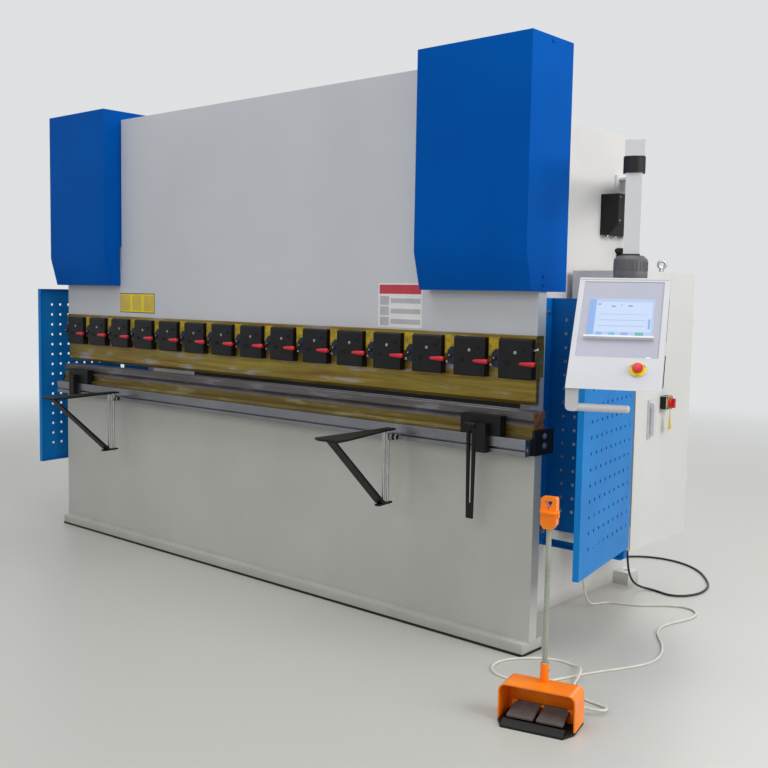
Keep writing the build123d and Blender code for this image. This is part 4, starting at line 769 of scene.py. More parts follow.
def relief_sleeve(form, place, radius, cable_radius, length):
    """Adds a ribbed, tapered sleeve that keeps a cable from kinking."""
    outline = [(cable_radius + 0.2, 0), (radius, 0)]
    ribs = max(int(length / 7), 3)
    for i in range(ribs):
        share = (i + 0.5) / ribs
        wide = radius + (cable_radius + 1.2 - radius) * share
        outline += [(wide, length * (i + 0.15) / ribs), (wide, length * (i + 0.65) / ribs)]
        outline += [
            (wide - 1.0, length * (i + 0.75) / ribs), (wide - 1.0, length * (i + 0.98) / ribs),
        ]
    outline.append((cable_radius + 0.2, length))
    turned(form, outline, place, 20)


PEDAL = at(1979, -561, 0, 15)
GLAND_X, GLAND_Z = 92, 26


def behind_pedal(y):
    """A spot in mm on the line of the pedal's cable gland, y mm behind the hood's mouth."""
    return tuple(v / MM for v in PEDAL @ Vector((GLAND_X * MM, y * MM, GLAND_Z * MM)))


white_points = [
    (1440, 630, 290), (1440, 630, 240), (1441, 632, 185), (1441, 640, 130), (1442, 653, 80),
    (1443, 672, 38), (1447, 697, 12), (1455, 730, 4.5), (1474, 790, 4.5), (1536, 818, 4.5),
    (1598, 850, 4.5), (1650, 899, 4.5), (1706, 951, 4.5), (1780, 975, 4.5), (1838, 935, 4.5),
    (1857, 862, 4.5), (1842, 786, 4.5), (1818, 712, 4.5), (1813, 638, 4.5), (1832, 566, 4.5),
    (1872, 504, 4.5), (1916, 444, 4.5), (1951, 376, 4.5), (1975, 302, 4.5), (1979, 225, 4.5),
    (1957, 152, 4.5), (1923, 83, 4.5), (1888, 14, 4.5), (1855, -56, 4.5), (1829, -129, 4.5),
    (1800, -200, 4.5), (1748, -258, 4.5), (1677, -284, 4.5), (1604, -268, 4.5), (1560, -208, 4.5),
    (1562, -134, 4.5), (1602, -71, 4.5), (1656, -19, 4.5), (1722, 10, 4.5), (1786, 0, 4.5),
    (1826, -32, 18), (1856, -72, 24), (1872, -120, 16), (1886, -176, 4.5), (1916, -230, 4.5),
    (1968, -258, 4.5), (2024, -262, 4.5), (2074, -274, 8), (2092, -312, 14), (2066, -346, 20),
]
black_points = [
    (1480, 960, 290), (1480, 960, 225), (1477, 972, 170), (1470, 996, 118), (1464, 1030, 70),
    (1466, 1068, 32), (1484, 1100, 12), (1518, 1120, 5), (1573, 1110, 5), (1629, 1090, 5),
    (1680, 1120, 5), (1712, 1176, 5), (1722, 1244, 5), (1712, 1316, 5), (1690, 1386, 5),
    (1652, 1452, 5), (1610, 1516, 5), (1558, 1580, 5), (1496, 1634, 5), (1426, 1672, 5),
    (1348, 1690, 5), (1268, 1682, 5), (1196, 1646, 5), (1144, 1586, 5), (1114, 1512, 12),
    (1104, 1446, 30), (1100, 1386, 62), (1100, 1330, 104), (1100, 1266, 140), (1100, 1170, 140),
]
white_points += [behind_pedal(174), behind_pedal(124)]
white_cable = cable("white_control_cable", white_points, 9, white_sheath, "pedal_cable")
black_cable = cable("black_supply_cable", black_points, 10, black_sheath, "power_cable")

# Glands: a hexagon and a dome nut under the cabinet, dome nuts on the rear beam and the hood
behind = PEDAL.to_3x3() @ Vector(BACK)
glands = bmesh.new()
for x, y in ((1440, 630), (1480, 960)):
    turned(glands, [(0, 0), (14, 0), (14, 8), (11.5, 9)], facing(x, y, 310, DOWN), 6)
    nut = [(11.5, 8), (12.5, 9), (12.5, 17), (11, 20), (5.2, 20)]
    turned(glands, nut, facing(x, y, 310, DOWN), 24)
dome = [(0, 0), (14, 0), (14, 8), (12.5, 9), (12.5, 17), (11, 20)]
turned(glands, dome + [(5.2, 20)], facing(1100, 1150, 140, BACK), 24)
turned(glands, dome + [(4.7, 20)], facing(*behind_pedal(104), behind), 24)
stand_in("cable_glands_finished", finished(outwards(glands), 0.4), "cable_glands", black_moulding)
sleeves = bmesh.new()
relief_sleeve(sleeves, facing(1440, 630, 290, DOWN), 9, 4.5, 34)
relief_sleeve(sleeves, facing(1480, 960, 290, DOWN), 9.5, 5, 36)
relief_sleeve(sleeves, facing(1100, 1170, 140, BACK), 9.5, 5, 36)
relief_sleeve(sleeves, facing(*behind_pedal(124), behind), 9, 4.5, 30)
shaped("cable_sleeves", sleeves, "cable_glands", black_moulding, 0.3)


# Frames, bed and ram

dressed("bed", shaded_bed_paint, 2.5)
# A black strip round the plinth's lowest 11 mm: painted shadow of the gap between the plinth and
# the floor.
foot_strip = bmesh.new()
foot_outline = [(-1593.6, -60.6), (1593.6, -60.6), (1593.6, 75.4), (-1593.6, 75.4)]
prism(foot_strip, foot_outline, "z", 0.0, 11)
shaped("plinth_gap_painted_shadow", foot_strip, "bed", black_moulding, 0.4)
for node, finish, edge in (
    ("side_frame_left", lit_frame_paint, 2.5), ("side_frame_right", lit_frame_paint, 2.5),
    ("rear_beam", lit_frame_paint, 2.0), ("ram", ram_paint, 2.5), ("ram_guides", ground_steel, 1.0),
    ("worktable", ground_steel, 1.2), ("die_base", die_gold, 1.0),
    ("tool_bar", punch_oiled, 1.0), ("punch", punch_oiled, 0.8),
):
    dressed(node, finish, edge)


def die_finish(face):
    """The die's sawn ends, its wiped top lands, its oily lower band and its other faces."""
    if abs(face.normal.x) > 0.9:
        return 2
    if face.normal.z > 0.3:
        return 3
    return 1 if face.center.z < 0.882 else 0


die = stand_in("die_finished", finished(solid_of("die"), 0.8), "die", None)
shaded(die, (die_oiled, die_gold, die_end, die_land), die_finish)

# Long oil-gold strip that lies along the die's foot on the table
strips = bmesh.new()
strip_outline = [(-62, 834), (-46, 834), (-46, 846), (-50, 850), (-62, 840)]
prism(strips, strip_outline, "x", -1298, 1296)
shaped("die_foot_strip", strips, "bed", die_gold, 0.8)

# Covers, with painted round heads on their outer sides: two at the foot, one near the top
for hand in ("left", "right"):
    dressed("cylinder_cover_" + hand, cover_blue, 1.3)
heads = bmesh.new()
for hand in (-1, 1):
    for y, z in ((-5, 1408), (-5, 1439), (15, 2292)):
        turned(
            heads, [(0, 0), (9, 0), (8.6, 2.2), (6.5, 4.6), (0, 5.4)],
            facing(hand * 1602.2, y, z, (hand, 0, 0)), 18,
        )
shaped("cover_heads", heads, "cylinder_cover_right", cover_blue)

# Bolt heads of the cylinders' flanges, the guards and covers, and the table's ends
bolts = bmesh.new()
for hand in (1, -1):
    for x in (1307 - 112, 1307 + 112):
        for z in (1618, 1642):
            hex_head(bolts, facing(hand * x, -95, z, FRONT), 11, 7)
    for y, z, x, radius in (
        (467.5, 360, 1334, 8), (467.5, 1298, 1334, 8), (174, 1590, 1335, 8), (174, 2042, 1335, 8),
        (20, 841, 1612, 9), (20, 805, 1612, 9),
    ):
        hex_head(bolts, facing(hand * x, y, z, (hand, 0, 0)), radius, 7)
stand_in("bolt_heads", finished(outwards(bolts), 0.3), "fixing_bolts", zinc)


# Clamps: each form is made at the middle of the row's frame and repeated at the clamps' pitch

CLAMPS = 15
CLAMP_PITCH = 640 / 3


def clamp_row(name, form, node, finish, edge=0.0, shown_for_node=False, count=CLAMPS):
    """A form at every clamp, or in a shorter row at all but the first ones on the left."""
    first = CLAMPS - count - 7
    row = repeated(
        finished(outwards(form), edge), count, (CLAMP_PITCH, 0, 0),
        (first * CLAMP_PITCH + 20, 0, 0), finish=finish,
    )
    if shown_for_node:
        return stand_in(name, row, node, finish)
    return piece(name, row, own_body(node), finish)


# A milled block with a hook under the tool bar
one = bmesh.new()
prism(one, [
    (-48, 1056), (-44, 1052), (-14, 1052), (-14, 1108), (-24, 1108), (-24, 1204), (-42, 1204),
    (-48, 1198),
], "x", -75, 75)
clamp_row("clamp_row", one, "clamp_blocks", black_oxide, 1.6, True)
# A bevelled ear on its left side
one = bmesh.new()
prism(one, [
    (-74.6, 1091), (-74.6, 1162), (-92, 1162), (-109, 1144), (-109, 1109), (-92, 1091),
], "y", -46, -24.2)
clamp_row("clamp_ears", one, "clamp_blocks", ear_blue, 2.0)
# Raised milled pads, two bores with a rim and a boss on the ear
one = bmesh.new()
block(one, (-62, -48.8, 1140), (62, -47.5, 1188))
block(one, (-62, -48.8, 1064), (62, -47.5, 1084))
turned(
    one, [(9.5, -0.5), (9.5, 2.4), (7.2, 2.4), (7.2, -6), (0, -6)],
    facing(-34, -48, 1112, FRONT), 16,
)
turned(
    one, [(7.5, -0.5), (7.5, 1.8), (5.6, 1.8), (5.6, -5), (0, -5)],
    facing(44, -49, 1164, FRONT), 14,
)
turned(one, [(10, -0.5), (10, 3), (8.5, 4), (0, 4)], facing(-92, -46, 1127, FRONT), 18)
clamp_row("clamp_pads", one, "clamp_blocks", black_oxide, 0.5)
# Set screw and the ear's pin
one = bmesh.new()
socket_head(one, facing(2, -48, 1152, FRONT), 6.5, 3.2)
turned(one, [(3.2, 0), (3.2, 5), (2.4, 5.6), (0, 5.6)], facing(-92, -50, 1127, FRONT), 10)
clamp_row("clamp_screws", one, "clamp_blocks", zinc)
# Gold wedges that show between the clamps, with their silver pins
one = bmesh.new()
block(one, (-131, -33, 1134), (-77.5, -24.2, 1207))
clamp_row("clamp_wedges", one, "clamp_blocks", gold_plate, 1.4, count=CLAMPS - 1)
one = bmesh.new()
turned(one, [(0, 0), (6.5, 0), (6.5, 6), (5, 8), (0, 8)], facing(-122, -24.2, 1100, FRONT), 14)
clamp_row("wedge_pins", one, "clamp_blocks", zinc, count=CLAMPS - 1)
# Levers: moulded capsules that taper to the left, on a short steel shank
one = bmesh.new()
turned(one, [
    (0, 0), (4.2, 0.6), (5.8, 3), (6.6, 10), (8.6, 30), (9.8, 52), (10, 60), (9.2, 66),
    (6.8, 69.2), (0, 70),
], facing(31, -62, 1112, RIGHT), 14)
clamp_row("lever_grips", one, "clamp_levers", red_moulding, shown_for_node=True)
one = bmesh.new()
turned(one, [(6, 0), (6, 9), (5, 10), (5, 14), (0, 14)], facing(41, -48, 1112, FRONT), 12)
clamp_row("lever_shanks", one, "clamp_levers", black_oxide)

# Small bright latch at the ram's right end
latch = bmesh.new()
block(latch, (1560, -40, 1132), (1586, -24.5, 1168))
turned(
    latch, [(0, 0), (6, 0), (6, 34), (4, 38), (0, 38)], facing(1573, -33, 1158, (1, 0, 0.25)), 12,
)
shaped("ram_end_latch", latch, "ram", chrome, 1.0)


# Bare plates on the ram's face

RAM_FACE = -18.0


def plate(name, x0, x1, z0, z1, material, lift=0.0, radius=4):
    """A thin plate on the ram's front with rounded corners, lifted mm off it."""
    form = bmesh.new()
    outline = rounded(x0, x1, z0, z1, radius, 4)
    prism(form, outline, "y", RAM_FACE - 0.8 - lift, RAM_FACE + 0.2 - lift)
    shaped(name, form, "ram", material, 0.15)


plate("left_plate", -1077, -770, 1240, 1343, dark_film)
plate("left_plate_face", -1073, -774, 1244, 1339, yellow_film, 0.5)
for i in range(3):
    x = -1077 + 307 * i / 3
    plate("left_plate_field_%d" % i, x + 10, x + 92, 1250, 1333, tag_card, 1.0, 6)
plate("right_plate", 798, 1037, 1225, 1408, white_film)
plate("right_plate_head", 804, 1031, 1364, 1402, red_film, 0.6, 3)
for i in range(3):
    z = 43 * i
    plate("right_plate_field_%d" % i, 808, 858, 1232 + z, 1268 + z, grey_film, 0.6, 3)
    plate("right_plate_line_%d" % i, 868, 1028, 1240 + z, 1260 + z, grey_film, 0.6, 2)


# Front supports: enamelled arm, chromed posts and carriage, moulded knob

for hand, x in (("left", -945), ("right", 985)):
    arm_node, carriage = "support_arm_" + hand, "support_carriage_" + hand
    dressed(arm_node, black_paint, 1.2)
    place = at(x, -155, 0, 8)
    posts = bmesh.new()
    for y in (0, -30):
        turned(posts, [(7.15, 524.2), (7.15, 815.8)], place @ at(0, y, 0), 24)
    turned(posts, [(0, 505), (9, 507), (9, 516)], place, 18)
    shaped("support_posts_" + hand, posts, arm_node, chrome)
    dressed(carriage, chrome, 1.2)
    knob = bmesh.new()
    turned(knob, [
        (0, 0.2), (6, 0.2), (10, 2), (13.2, 6), (13.2, 20), (12.6, 24), (9, 26.4), (0, 26.4),
    ], facing(x + 22, -155, 792, RIGHT), 24)
    shaped("support_knob_" + hand, knob, carriage, black_moulding)

# Stops and table ends
dressed("stop_brackets", black_paint, 1.4)
dressed("stop_arm", black_paint, 1.0)


# Side guards: perforated sheets, their lips, knuckles and pins

GUARD_Y = 490
GUARD_TOP = 1358
HINGE_SIDE = 13.5
HINGE_HEIGHTS = (390, 1218)
HOLE_ROWS = 15
ROW_PITCH = 58
HOLE_RADIUS = 7.5
FIRST_ROW = 456


def sheet_cell(u0, u1, v0, v1):
    """Points round a cell's edge, four to a side, and round its hole."""
    edge = []
    corners = [(u0, v0), (u1, v0), (u1, v1), (u0, v1)]
    for i in range(4):
        (a, b), (c, d) = corners[i], corners[(i + 1) % 4]
        edge += [(a + (c - a) * k / 4, b + (d - b) * k / 4) for k in range(4)]
    return edge, arc((u0 + u1) / 2, (v0 + v1) / 2, HOLE_RADIUS, 225, 337.5, 16)


def perforated(width, bottom, columns, pitch, first_u, window=None):
    """A flat sheet in the XZ plane with a field of round holes, u from 0 to width and up to the
    guards' top; window is an opening (u0, u1, v0, v1) below the field."""
    u0, u1 = first_u - pitch / 2, first_u + (columns - 0.5) * pitch
    v0, v1 = FIRST_ROW - ROW_PITCH / 2, FIRST_ROW + (HOLE_ROWS - 0.5) * ROW_PITCH
    cell = bmesh.new()
    outer, inner = (
        [cell.verts.new((a * MM, 0, b * MM)) for a, b in points]
        for points in sheet_cell(0, pitch, 0, ROW_PITCH)
    )
    for k in range(16):
        j = (k + 1) % 16
        cell.faces.new((outer[k], outer[j], inner[j], inner[k]))
    line = repeated(plain_mesh(cell, "cell"), columns, (pitch, 0, 0), (u0, 0, v0))
    form = form_of(repeated(line, HOLE_ROWS, (0, 0, ROW_PITCH)))
    across = [0, width] + [u0 + pitch * k for k in range(columns + 1)]
    upright = [v0 + ROW_PITCH * k for k in range(HOLE_ROWS + 1)]
    if window:
        across += window[:2]
        upright = [window[2], window[3]] + upright
    across = sorted({round(a, 4) for a in across})
    upright = [bottom] + upright + [GUARD_TOP]
    for a, b in zip(across, across[1:]):
        for c, d in zip(upright, upright[1:]):
            u, v = (a + b) / 2, (c + d) / 2
            holed = u0 < u < u1 and v0 < v < v1
            if holed or window and window[0] < u < window[1] and window[2] < v < window[3]:
                continue
            edge, _ = sheet_cell(a, b, c, d)
            form.faces.new([form.verts.new((p * MM, 0, q * MM)) for p, q in edge])
    bmesh.ops.remove_doubles(form, verts=form.verts, dist=2e-5)
    return form


def lip(form, chosen, push):
    """Folds the chosen border edges over by a push in mm."""
    edges = [e for e in form.edges if e.is_boundary and all(chosen(v.co / MM) for v in e.verts)]
    made = bmesh.ops.extrude_edge_only(form, edges=edges)["geom"]
    bmesh.ops.translate(
        form, vec=[v * MM for v in push],
        verts=[part for part in made if isinstance(part, bmesh.types.BMVert)],
    )


def guard_wing(hinge_x, columns):
    """Fixed right wing in place: its face with the slot at its foot, and three lips."""
    low, high = 1334.3, hinge_x - HINGE_SIDE
    width = high - low
    bottom = 302
    face = GUARD_Y - 2
    form = perforated(width, bottom, columns, 53.5, 72.7, (9.7, width - 12, 326, 367))
    bmesh.ops.translate(form, vec=(low * MM, face * MM, 0), verts=form.verts)
    lip(form, lambda v: abs(v.x - low) < 0.01 and v.y < face + 1, (0, -43, 0))
    lip(form, lambda v: abs(v.x - high) < 0.01 and v.y < face + 1, (0, 27, 0))
    lip(form, lambda v: abs(v.z - bottom) < 0.01 and abs(v.y - face) < 0.01, (0, -25, 0))
    return outwards(form)


def guard_door(place):
    """Right door on its hinge: its face outside, lips turned inwards."""
    width = 623 - HINGE_SIDE
    bottom = 356
    form = perforated(width, bottom, 9, 58, 95)
    lip(form, lambda v: abs(v.x) < 0.01, (0, 23, 0))
    for z in (bottom, GUARD_TOP):
        lip(
            form, lambda v: abs(v.z - z) < 0.01 and abs(v.y) < 0.01 and v.x < width - 12,
            (0, 23, 0),
        )
    placed(form, at(9, -623, 0, 90))
    return outwards(placed(form, place))


def wing_pintles(hinge_x):
    """The fixed halves of both hinges: a barrel with its pin and the leaf beside it."""
    form = bmesh.new()
    for z in HINGE_HEIGHTS:
        turned(form, [
            (0, z - 50), (8.4, z - 50), (9, z - 49.4), (9, z - 0.6), (8.4, z), (5, z),
            (5, z + 49), (4.2, z + 50), (0, z + 50),
        ], at(hinge_x, GUARD_Y, 0), 20)
        block(form, (hinge_x - HINGE_SIDE, 486, z - 50), (hinge_x - 5, 491.5, z))
    return outwards(form)


def door_knuckles(place):
    """The moving halves: a barrel over the pin and a leaf on the door."""
    form = bmesh.new()
    for z in HINGE_HEIGHTS:
        turned(form, [
            (5.2, z + 0.2), (8.4, z + 0.2), (9, z + 0.8), (9, z + 49.2), (8.4, z + 50),
            (5.2, z + 50),
        ], Matrix.Identity(4), 20)
        block(form, (7, -14, z), (9, -4, z + 50))
    return placed(outwards(form), place)


def mirrored(form):
    """The form on the machine's other side."""
    bmesh.ops.scale(form, vec=(-1, 1, 1), verts=form.verts)
    bmesh.ops.reverse_faces(form, faces=form.faces)
    return form


# The doors' angles are those of the photograph
for hand, hinge_x, columns, open_by in (("right", 1724, 6, 11.6), ("left", 1800, 7, -7.1)):
    hinge = at(hinge_x, GUARD_Y, 0, open_by)
    wing_mesh = finished(guard_wing(hinge_x, columns), thickness=2.0)
    door_mesh = finished(guard_door(hinge), thickness=2.0)
    pins, knuckles = wing_pintles(hinge_x), door_knuckles(hinge)
    if hand == "left":
        wing_mesh = finished(mirrored(form_of(wing_mesh)))
        door_mesh = finished(mirrored(form_of(door_mesh)))
        pins, knuckles = mirrored(pins), mirrored(knuckles)
    wing, door = "guard_wing_" + hand, "guard_door_" + hand
    stand_in("wing_sheet_" + hand, wing_mesh, wing, guard_blue)
    stand_in("door_sheet_" + hand, door_mesh, door, lit_door_blue)
    piece("wing_pintles_" + hand, finished(pins), own_body(wing), zinc)
    piece("door_knuckles_" + hand, finished(knuckles), own_body(door), zinc)


# Cabinet

dressed("cabinet", cabinet_coat, 1.5)
dressed("cabinet_door", cabinet_coat, 1.5)
seal = bmesh.new()
for low, high in (
    ((1658.2, 606, 316), (1659.8, 1104, 322)), ((1658.2, 606, 1465), (1659.8, 1104, 1471)),
    ((1658.2, 606, 322), (1659.8, 612, 1465)), ((1658.2, 1098, 322), (1659.8, 1104, 1465)),
):
    block(seal, low, high)
shaped("door_seal", seal, "cabinet_door", black_moulding, 0.4)

# Hanging handle: bright plate with a rounded lever and a key cap
handle = bmesh.new()
prism(handle, [
    (1686.7, 926), (1686.7, 904), (1694, 897), (1698.5, 885), (1698.5, 792), (1701, 786),
    (1705, 785), (1708, 790), (1708, 918), (1704, 925),
], "y", 713, 733)
piece(
    "handle_lever", finished(outwards(handle), 3.2), own_body("door_handle"), satin_nickel,
    ("door_handle",),
)
backing = bmesh.new()
block(backing, (1680, 707, 771), (1686.5, 739, 938))
turned(
    backing, [(0, 0), (8, 0), (8, 2), (6.5, 3), (2.2, 3), (2.2, 1), (0, 1)],
    facing(1686.5, 723, 780, RIGHT), 20,
)
shaped("handle_plate", backing, "cabinet_door", satin_nickel, 2.0)

# Main switch: black base, red rotary knob and a bare yellow tag on a wire
SWITCH_Y, SWITCH_Z = 845, 919
base = bmesh.new()
block(base, (1680, 815.6, 889.6), (1712.4, 874.4, 948.4))
shaped("switch_base", base, "cabinet_door", black_moulding, 3.0)
knob = bmesh.new()
turned(
    knob, [(0, 0.8), (21, 0.8), (21, 3), (19.5, 4), (19.5, 11), (18, 13), (0, 13)],
    facing(1712, SWITCH_Y, SWITCH_Z, RIGHT), 32,
)
prism(knob, [
    (838, 899), (852, 899), (853, 907), (851, 919), (853, 931), (852, 939), (838, 939),
    (837, 931), (839, 919), (837, 907),
], "x", 1724, 1737.5)
stand_in("switch_knob", finished(outwards(knob), 1.0), "main_switch", red_moulding)
ring = bmesh.new()
turned(
    ring, [(24, 0), (27, 0), (27, 1.2), (24, 1.2), (24, 0)],
    facing(1712.4, SWITCH_Y, SWITCH_Z, RIGHT), 32,
)
shaped("switch_ring", ring, "cabinet_door", yellow_film)
tag = bmesh.new()
prism(tag, [(847, 884), (866, 806), (833, 802)], "x", 1713.4, 1714.4)
shaped("switch_tag", tag, "cabinet_door", tag_card, 0.3)
wire = bmesh.new()
turned(wire, [(0, 0), (1, 0), (1, 24), (0, 24)], facing(1713.4, 848, 868, (0, 0.1, 1)), 8)
shaped("tag_wire", wire, "cabinet_door", zinc)


# Lifting eyes

CABINET_TOP = 1477


def forged_eye(x, y, ring, wire):
    """A drop-forged eye on a turned collar: radius of its ring and of the ring's wire, in mm."""
    form = bmesh.new()
    top = CABINET_TOP
    place = at(x, y, top + 3 * wire + ring, 45) @ at(0, 0, 0, 90, "X")
    steps, sides = 40, 14
    loops = []
    for i in range(steps):
        a = 2 * math.pi * i / steps
        loop = []
        for k in range(sides):
            b = 2 * math.pi * k / sides
            r = ring + wire * math.cos(b)
            spot = Vector((r * math.cos(a), r * math.sin(a), wire * math.sin(b))) * MM
            loop.append(form.verts.new(place @ spot))
        loops.append(loop)
    for here, after in zip(loops, loops[1:] + loops[:1]):
        for k in range(sides):
            j = (k + 1) % sides
            form.faces.new((here[k], here[j], after[j], after[k]))
    turned(form, [
        (0, top), (18, top), (18, top + 4), (14, top + 6), (8, top + 2.4 * wire),
        (6, top + 3.1 * wire), (0, top + 3.1 * wire),
    ], at(x, y, 0), 24)
    return finished(outwards(form))


# The solid's eye is hidden behind the pendant; the photograph shows the one further back
stand_in("lifting_eye_forged", forged_eye(1510, 778, 20, 5), "lifting_eye", zinc)
piece(
    "rear_lifting_eye", forged_eye(1592, 963, 15.5, 6.5), own_body("cabinet"), zinc,
)

# Switch box with its four lid screws and the three cable nuts under it
dressed("switch_box", black_moulding, 3.0)
trim = bmesh.new()
for y, z in ((882, 1810), (1062, 1810), (882, 1706), (1062, 1706)):
    socket_head(trim, facing(1422, y, z, RIGHT), 4.5, 1.6)
for y in (900, 972, 1044):
    turned(trim, [(0, 0), (9, 0), (9, 7), (7, 9), (0, 9)], facing(1350, y, 1644, DOWN), 14)
shaped("switch_box_trim", trim, "switch_box", zinc, 0.4)


# Pendant: bracket, square arm, elbow, ring, drop tube and ribbed collar

DROP_X, DROP_Y = 1967, -28


def arm_finish(face):
    """Black on the elbow's ring, grey on the collar, the arm's coat on everything else."""
    x, y, z = face.center / MM
    away = math.hypot(x - DROP_X, y - DROP_Y)
    if 28 < away < 80 and 1786 < z < 1842.9:
        return 1
    tube = away < 40 and abs(face.normal.z) < 0.5
    return 2 if away < 80 and 1400 < z < 1508.5 and not tube else 0


dressed("pendant_bracket", lit_frame_paint, 1.5)
arm_form = solid_of("pendant_arm")
# The pin and the collar's foot stand a little free of the console, which turns about them
for vert in arm_form.verts:
    x, y, z = vert.co / MM
    if z < 1432 and math.hypot(x - DROP_X, y - DROP_Y) < 21:
        vert.co.x = (DROP_X + 0.98 * (x - DROP_X)) * MM
        vert.co.y = (DROP_Y + 0.98 * (y - DROP_Y)) * MM
    if 1430 < z < 1432:
        vert.co.z += 0.3 * MM
bmesh.ops.triangulate(arm_form, faces=arm_form.faces)
arm = stand_in("pendant_arm_finished", finished(arm_form, 2.2), "pendant_arm", None)
shaded(arm, (arm_coat, black_moulding, collar_grey), arm_finish)
ribs = bmesh.new()
turned(ribs, [
    (0, 1434), (57.4, 1434), (58.2, 1437), (58.2, 1450), (57.4, 1453), (0, 1453),
], at(DROP_X, DROP_Y, 0), 48)
for i in range(28):
    block(ribs, (55, -2.2, 1455), (58.4, 2.2, 1488), place=at(DROP_X, DROP_Y, 0, 360 * i / 28))
shaped("collar_ribs", ribs, "pendant_arm", collar_grey, 0.6)
foot = bmesh.new()
block(foot, (-31, -31, 1506), (31, 31, 1514), 3)
placed(foot, at(DROP_X, DROP_Y, 0, -62.02))
turned(foot, [
    (0, 0), (4, 0), (4, 10), (9, 14), (10, 24), (7, 30), (0, 31),
], facing(1937, -54, 1504, (-0.25, -0.2, 1)), 16)
shaped("tube_foot", foot, "pendant_arm", black_moulding, 1.2)


# Console: shell, printed bezel film, lit screen fields, ledge and side trims

CONSOLE = at(DROP_X, DROP_Y, 0, 23) @ at(-12, 0, 0)
CONSOLE_FACE = CONSOLE @ at(0, -342.1, 1072.5, 52, "X")
console_body, screen_body = own_body("pendant_box"), own_body("screen")
dressed("pendant_box", console_coat, 1.6)


def face_plate(u0, u1, v0, v1, low, high, edge=0.3, radius=0):
    """Mesh of a plate on the console's sloping face, from its middle u and lower edge v, in mm."""
    outline = [(u0, v0), (u1, v0), (u1, v1), (u0, v1)]
    if radius:
        outline = rounded(u0, u1, v0, v1, radius, 5)
    form = bmesh.new()
    prism(form, outline, "z", low, high)
    return finished(placed(outwards(form), CONSOLE_FACE), edge)


bezel = face_plate(-131, 131, 127, 437, -3.6, -2.4, radius=4)
piece("bezel_field", bezel, console_body, bezel_film)
screen_frame = face_plate(-108.5, 108.5, 206.2, 367, -2.6, -1.9, radius=3)
piece("screen_frame", screen_frame, console_body, grey_film)
stand_in("screen_pane", face_plate(-105.5, 105.5, 206.2, 364, -3.2, -0.9), "screen", screen_blue)
for number, (u0, u1, v0, v1, look) in enumerate((
    (-105, -84, 209, 363, screen_side), (-82, 100, 228, 352, screen_field),
    (-105, 105, 207, 212, screen_foot), (-74, -56, 214, 226, screen_side),
    (-34, -14, 214, 226, screen_foot), (6, 28, 214, 226, screen_side),
    (52, 78, 214, 228, screen_key), (-78, -68, 340, 344, screen_ink),
    (-32, -20, 332, 336, screen_ink), (22, 36, 334, 338, screen_ink),
    (-1, 1, 336, 342, screen_ink), (-70, 84, 300, 301.2, screen_side),
    (-70, 84, 276, 277.2, screen_side), (-70, 84, 252, 253.2, screen_side),
    (90, 97, 242, 282, screen_side),
)):
    field = face_plate(u0, u1, v0, v1, -1.0, -0.6 + 0.02 * number, 0.0)
    piece("screen_field_%02d" % number, field, screen_body, look)
piece("ledge_cap", face_plate(-112, 112, 198.5, 206, -3, 12.5, 1.2), console_body, white_film)
piece("plate_notch", face_plate(92, 108, 124, 130, -1.2, 0.8, 0.4, 2), console_body, white_film)

# Emergency stop: yellow disc with three groups of dark ticks round a red mushroom
disc = bmesh.new()
turned(disc, [(12.4, 3.0), (27, 3.0), (27.3, 4.2), (26.4, 5.0), (12.4, 5.0)], steps=40)
shaped("estop_disc", placed(disc, CONSOLE_FACE @ at(72, 80, 0)), "pendant_box", yellow_film, 0.2)
ticks = bmesh.new()
for i in range(3):
    group = CONSOLE_FACE @ at(72, 80, 0, 30 + 120 * i)
    for k in range(5):
        block(ticks, (21.5, -6 + 2.6 * k, 4.9), (24.6, -4.4 + 2.6 * k, 5.3), place=group)
shaped("estop_ticks", ticks, "pendant_box", dark_film)
button = bmesh.new()
turned(button, [
    (0, -20), (8, -20), (8, 8.8), (11, 9.1), (11, 9.4), (16.4, 9.9), (17.4, 12), (17.2, 16),
    (15.2, 19.6), (10, 21.4), (0, 22),
], CONSOLE_FACE @ at(72, 80, 0), 36)
stand_in("estop_mushroom", finished(outwards(button)), "estop_button", red_moulding)

# A black strip as painted shade of a slit and a black grip strip on the console's right side, and
# the lip along its top
trim = bmesh.new()
block(trim, (149.5, 215, -32), (150.8, 390, -28), place=CONSOLE_FACE)
block(trim, (149.5, 40, -40), (152.4, 160, -30), place=CONSOLE_FACE)
shaped("console_side_trim", trim, "pendant_box", black_moulding, 0.8)
top_lip = bmesh.new()
block(top_lip, (-148, 446, -1.0), (148, 452, 1.6), place=CONSOLE_FACE)
shaped("console_top_lip", top_lip, "pendant_box", console_coat, 0.8)

# Grip: one bent bar with a rounded end
grip = bmesh.new()
prism(grip, [
    (-150, 1071.8), (-150, 1012), (-147, 1004), (-141, 999), (-133, 997.6), (-118, 997.6),
    (-112, 999.5), (-110, 1004), (-110, 1071.8),
], "y", -328.8, -303.4)
turned(grip, [
    (0, 0), (12.4, 0), (12.9, 1), (12.9, 178), (12.2, 183), (9.5, 186.6), (5, 188.4), (0, 189),
], facing(-134, -316.1, 1010.5, RIGHT), 28)
placed(outwards(grip), CONSOLE)
stand_in("console_grip", finished(grip, 3.0), "pendant_grip", console_coat)


# Foot pedal, made about its own middle on the floor

from_pedal = PEDAL.inverted()


def hood_finish(face):
    """Enamel on the outside; black on the foot, in the mouth and on the floor inside."""
    x, y, z = from_pedal @ face.center / MM
    inside = abs(x) < 102.5 and 0 < y < 99
    return 1 if z < 9 or y < -0.5 or inside and z < 16 else 0


hood = stand_in("pedal_hood_cast", finished(solid_of("pedal_hood"), 1.6), "pedal_hood", None)
shaded(hood, (pedal_enamel, black_moulding), hood_finish)

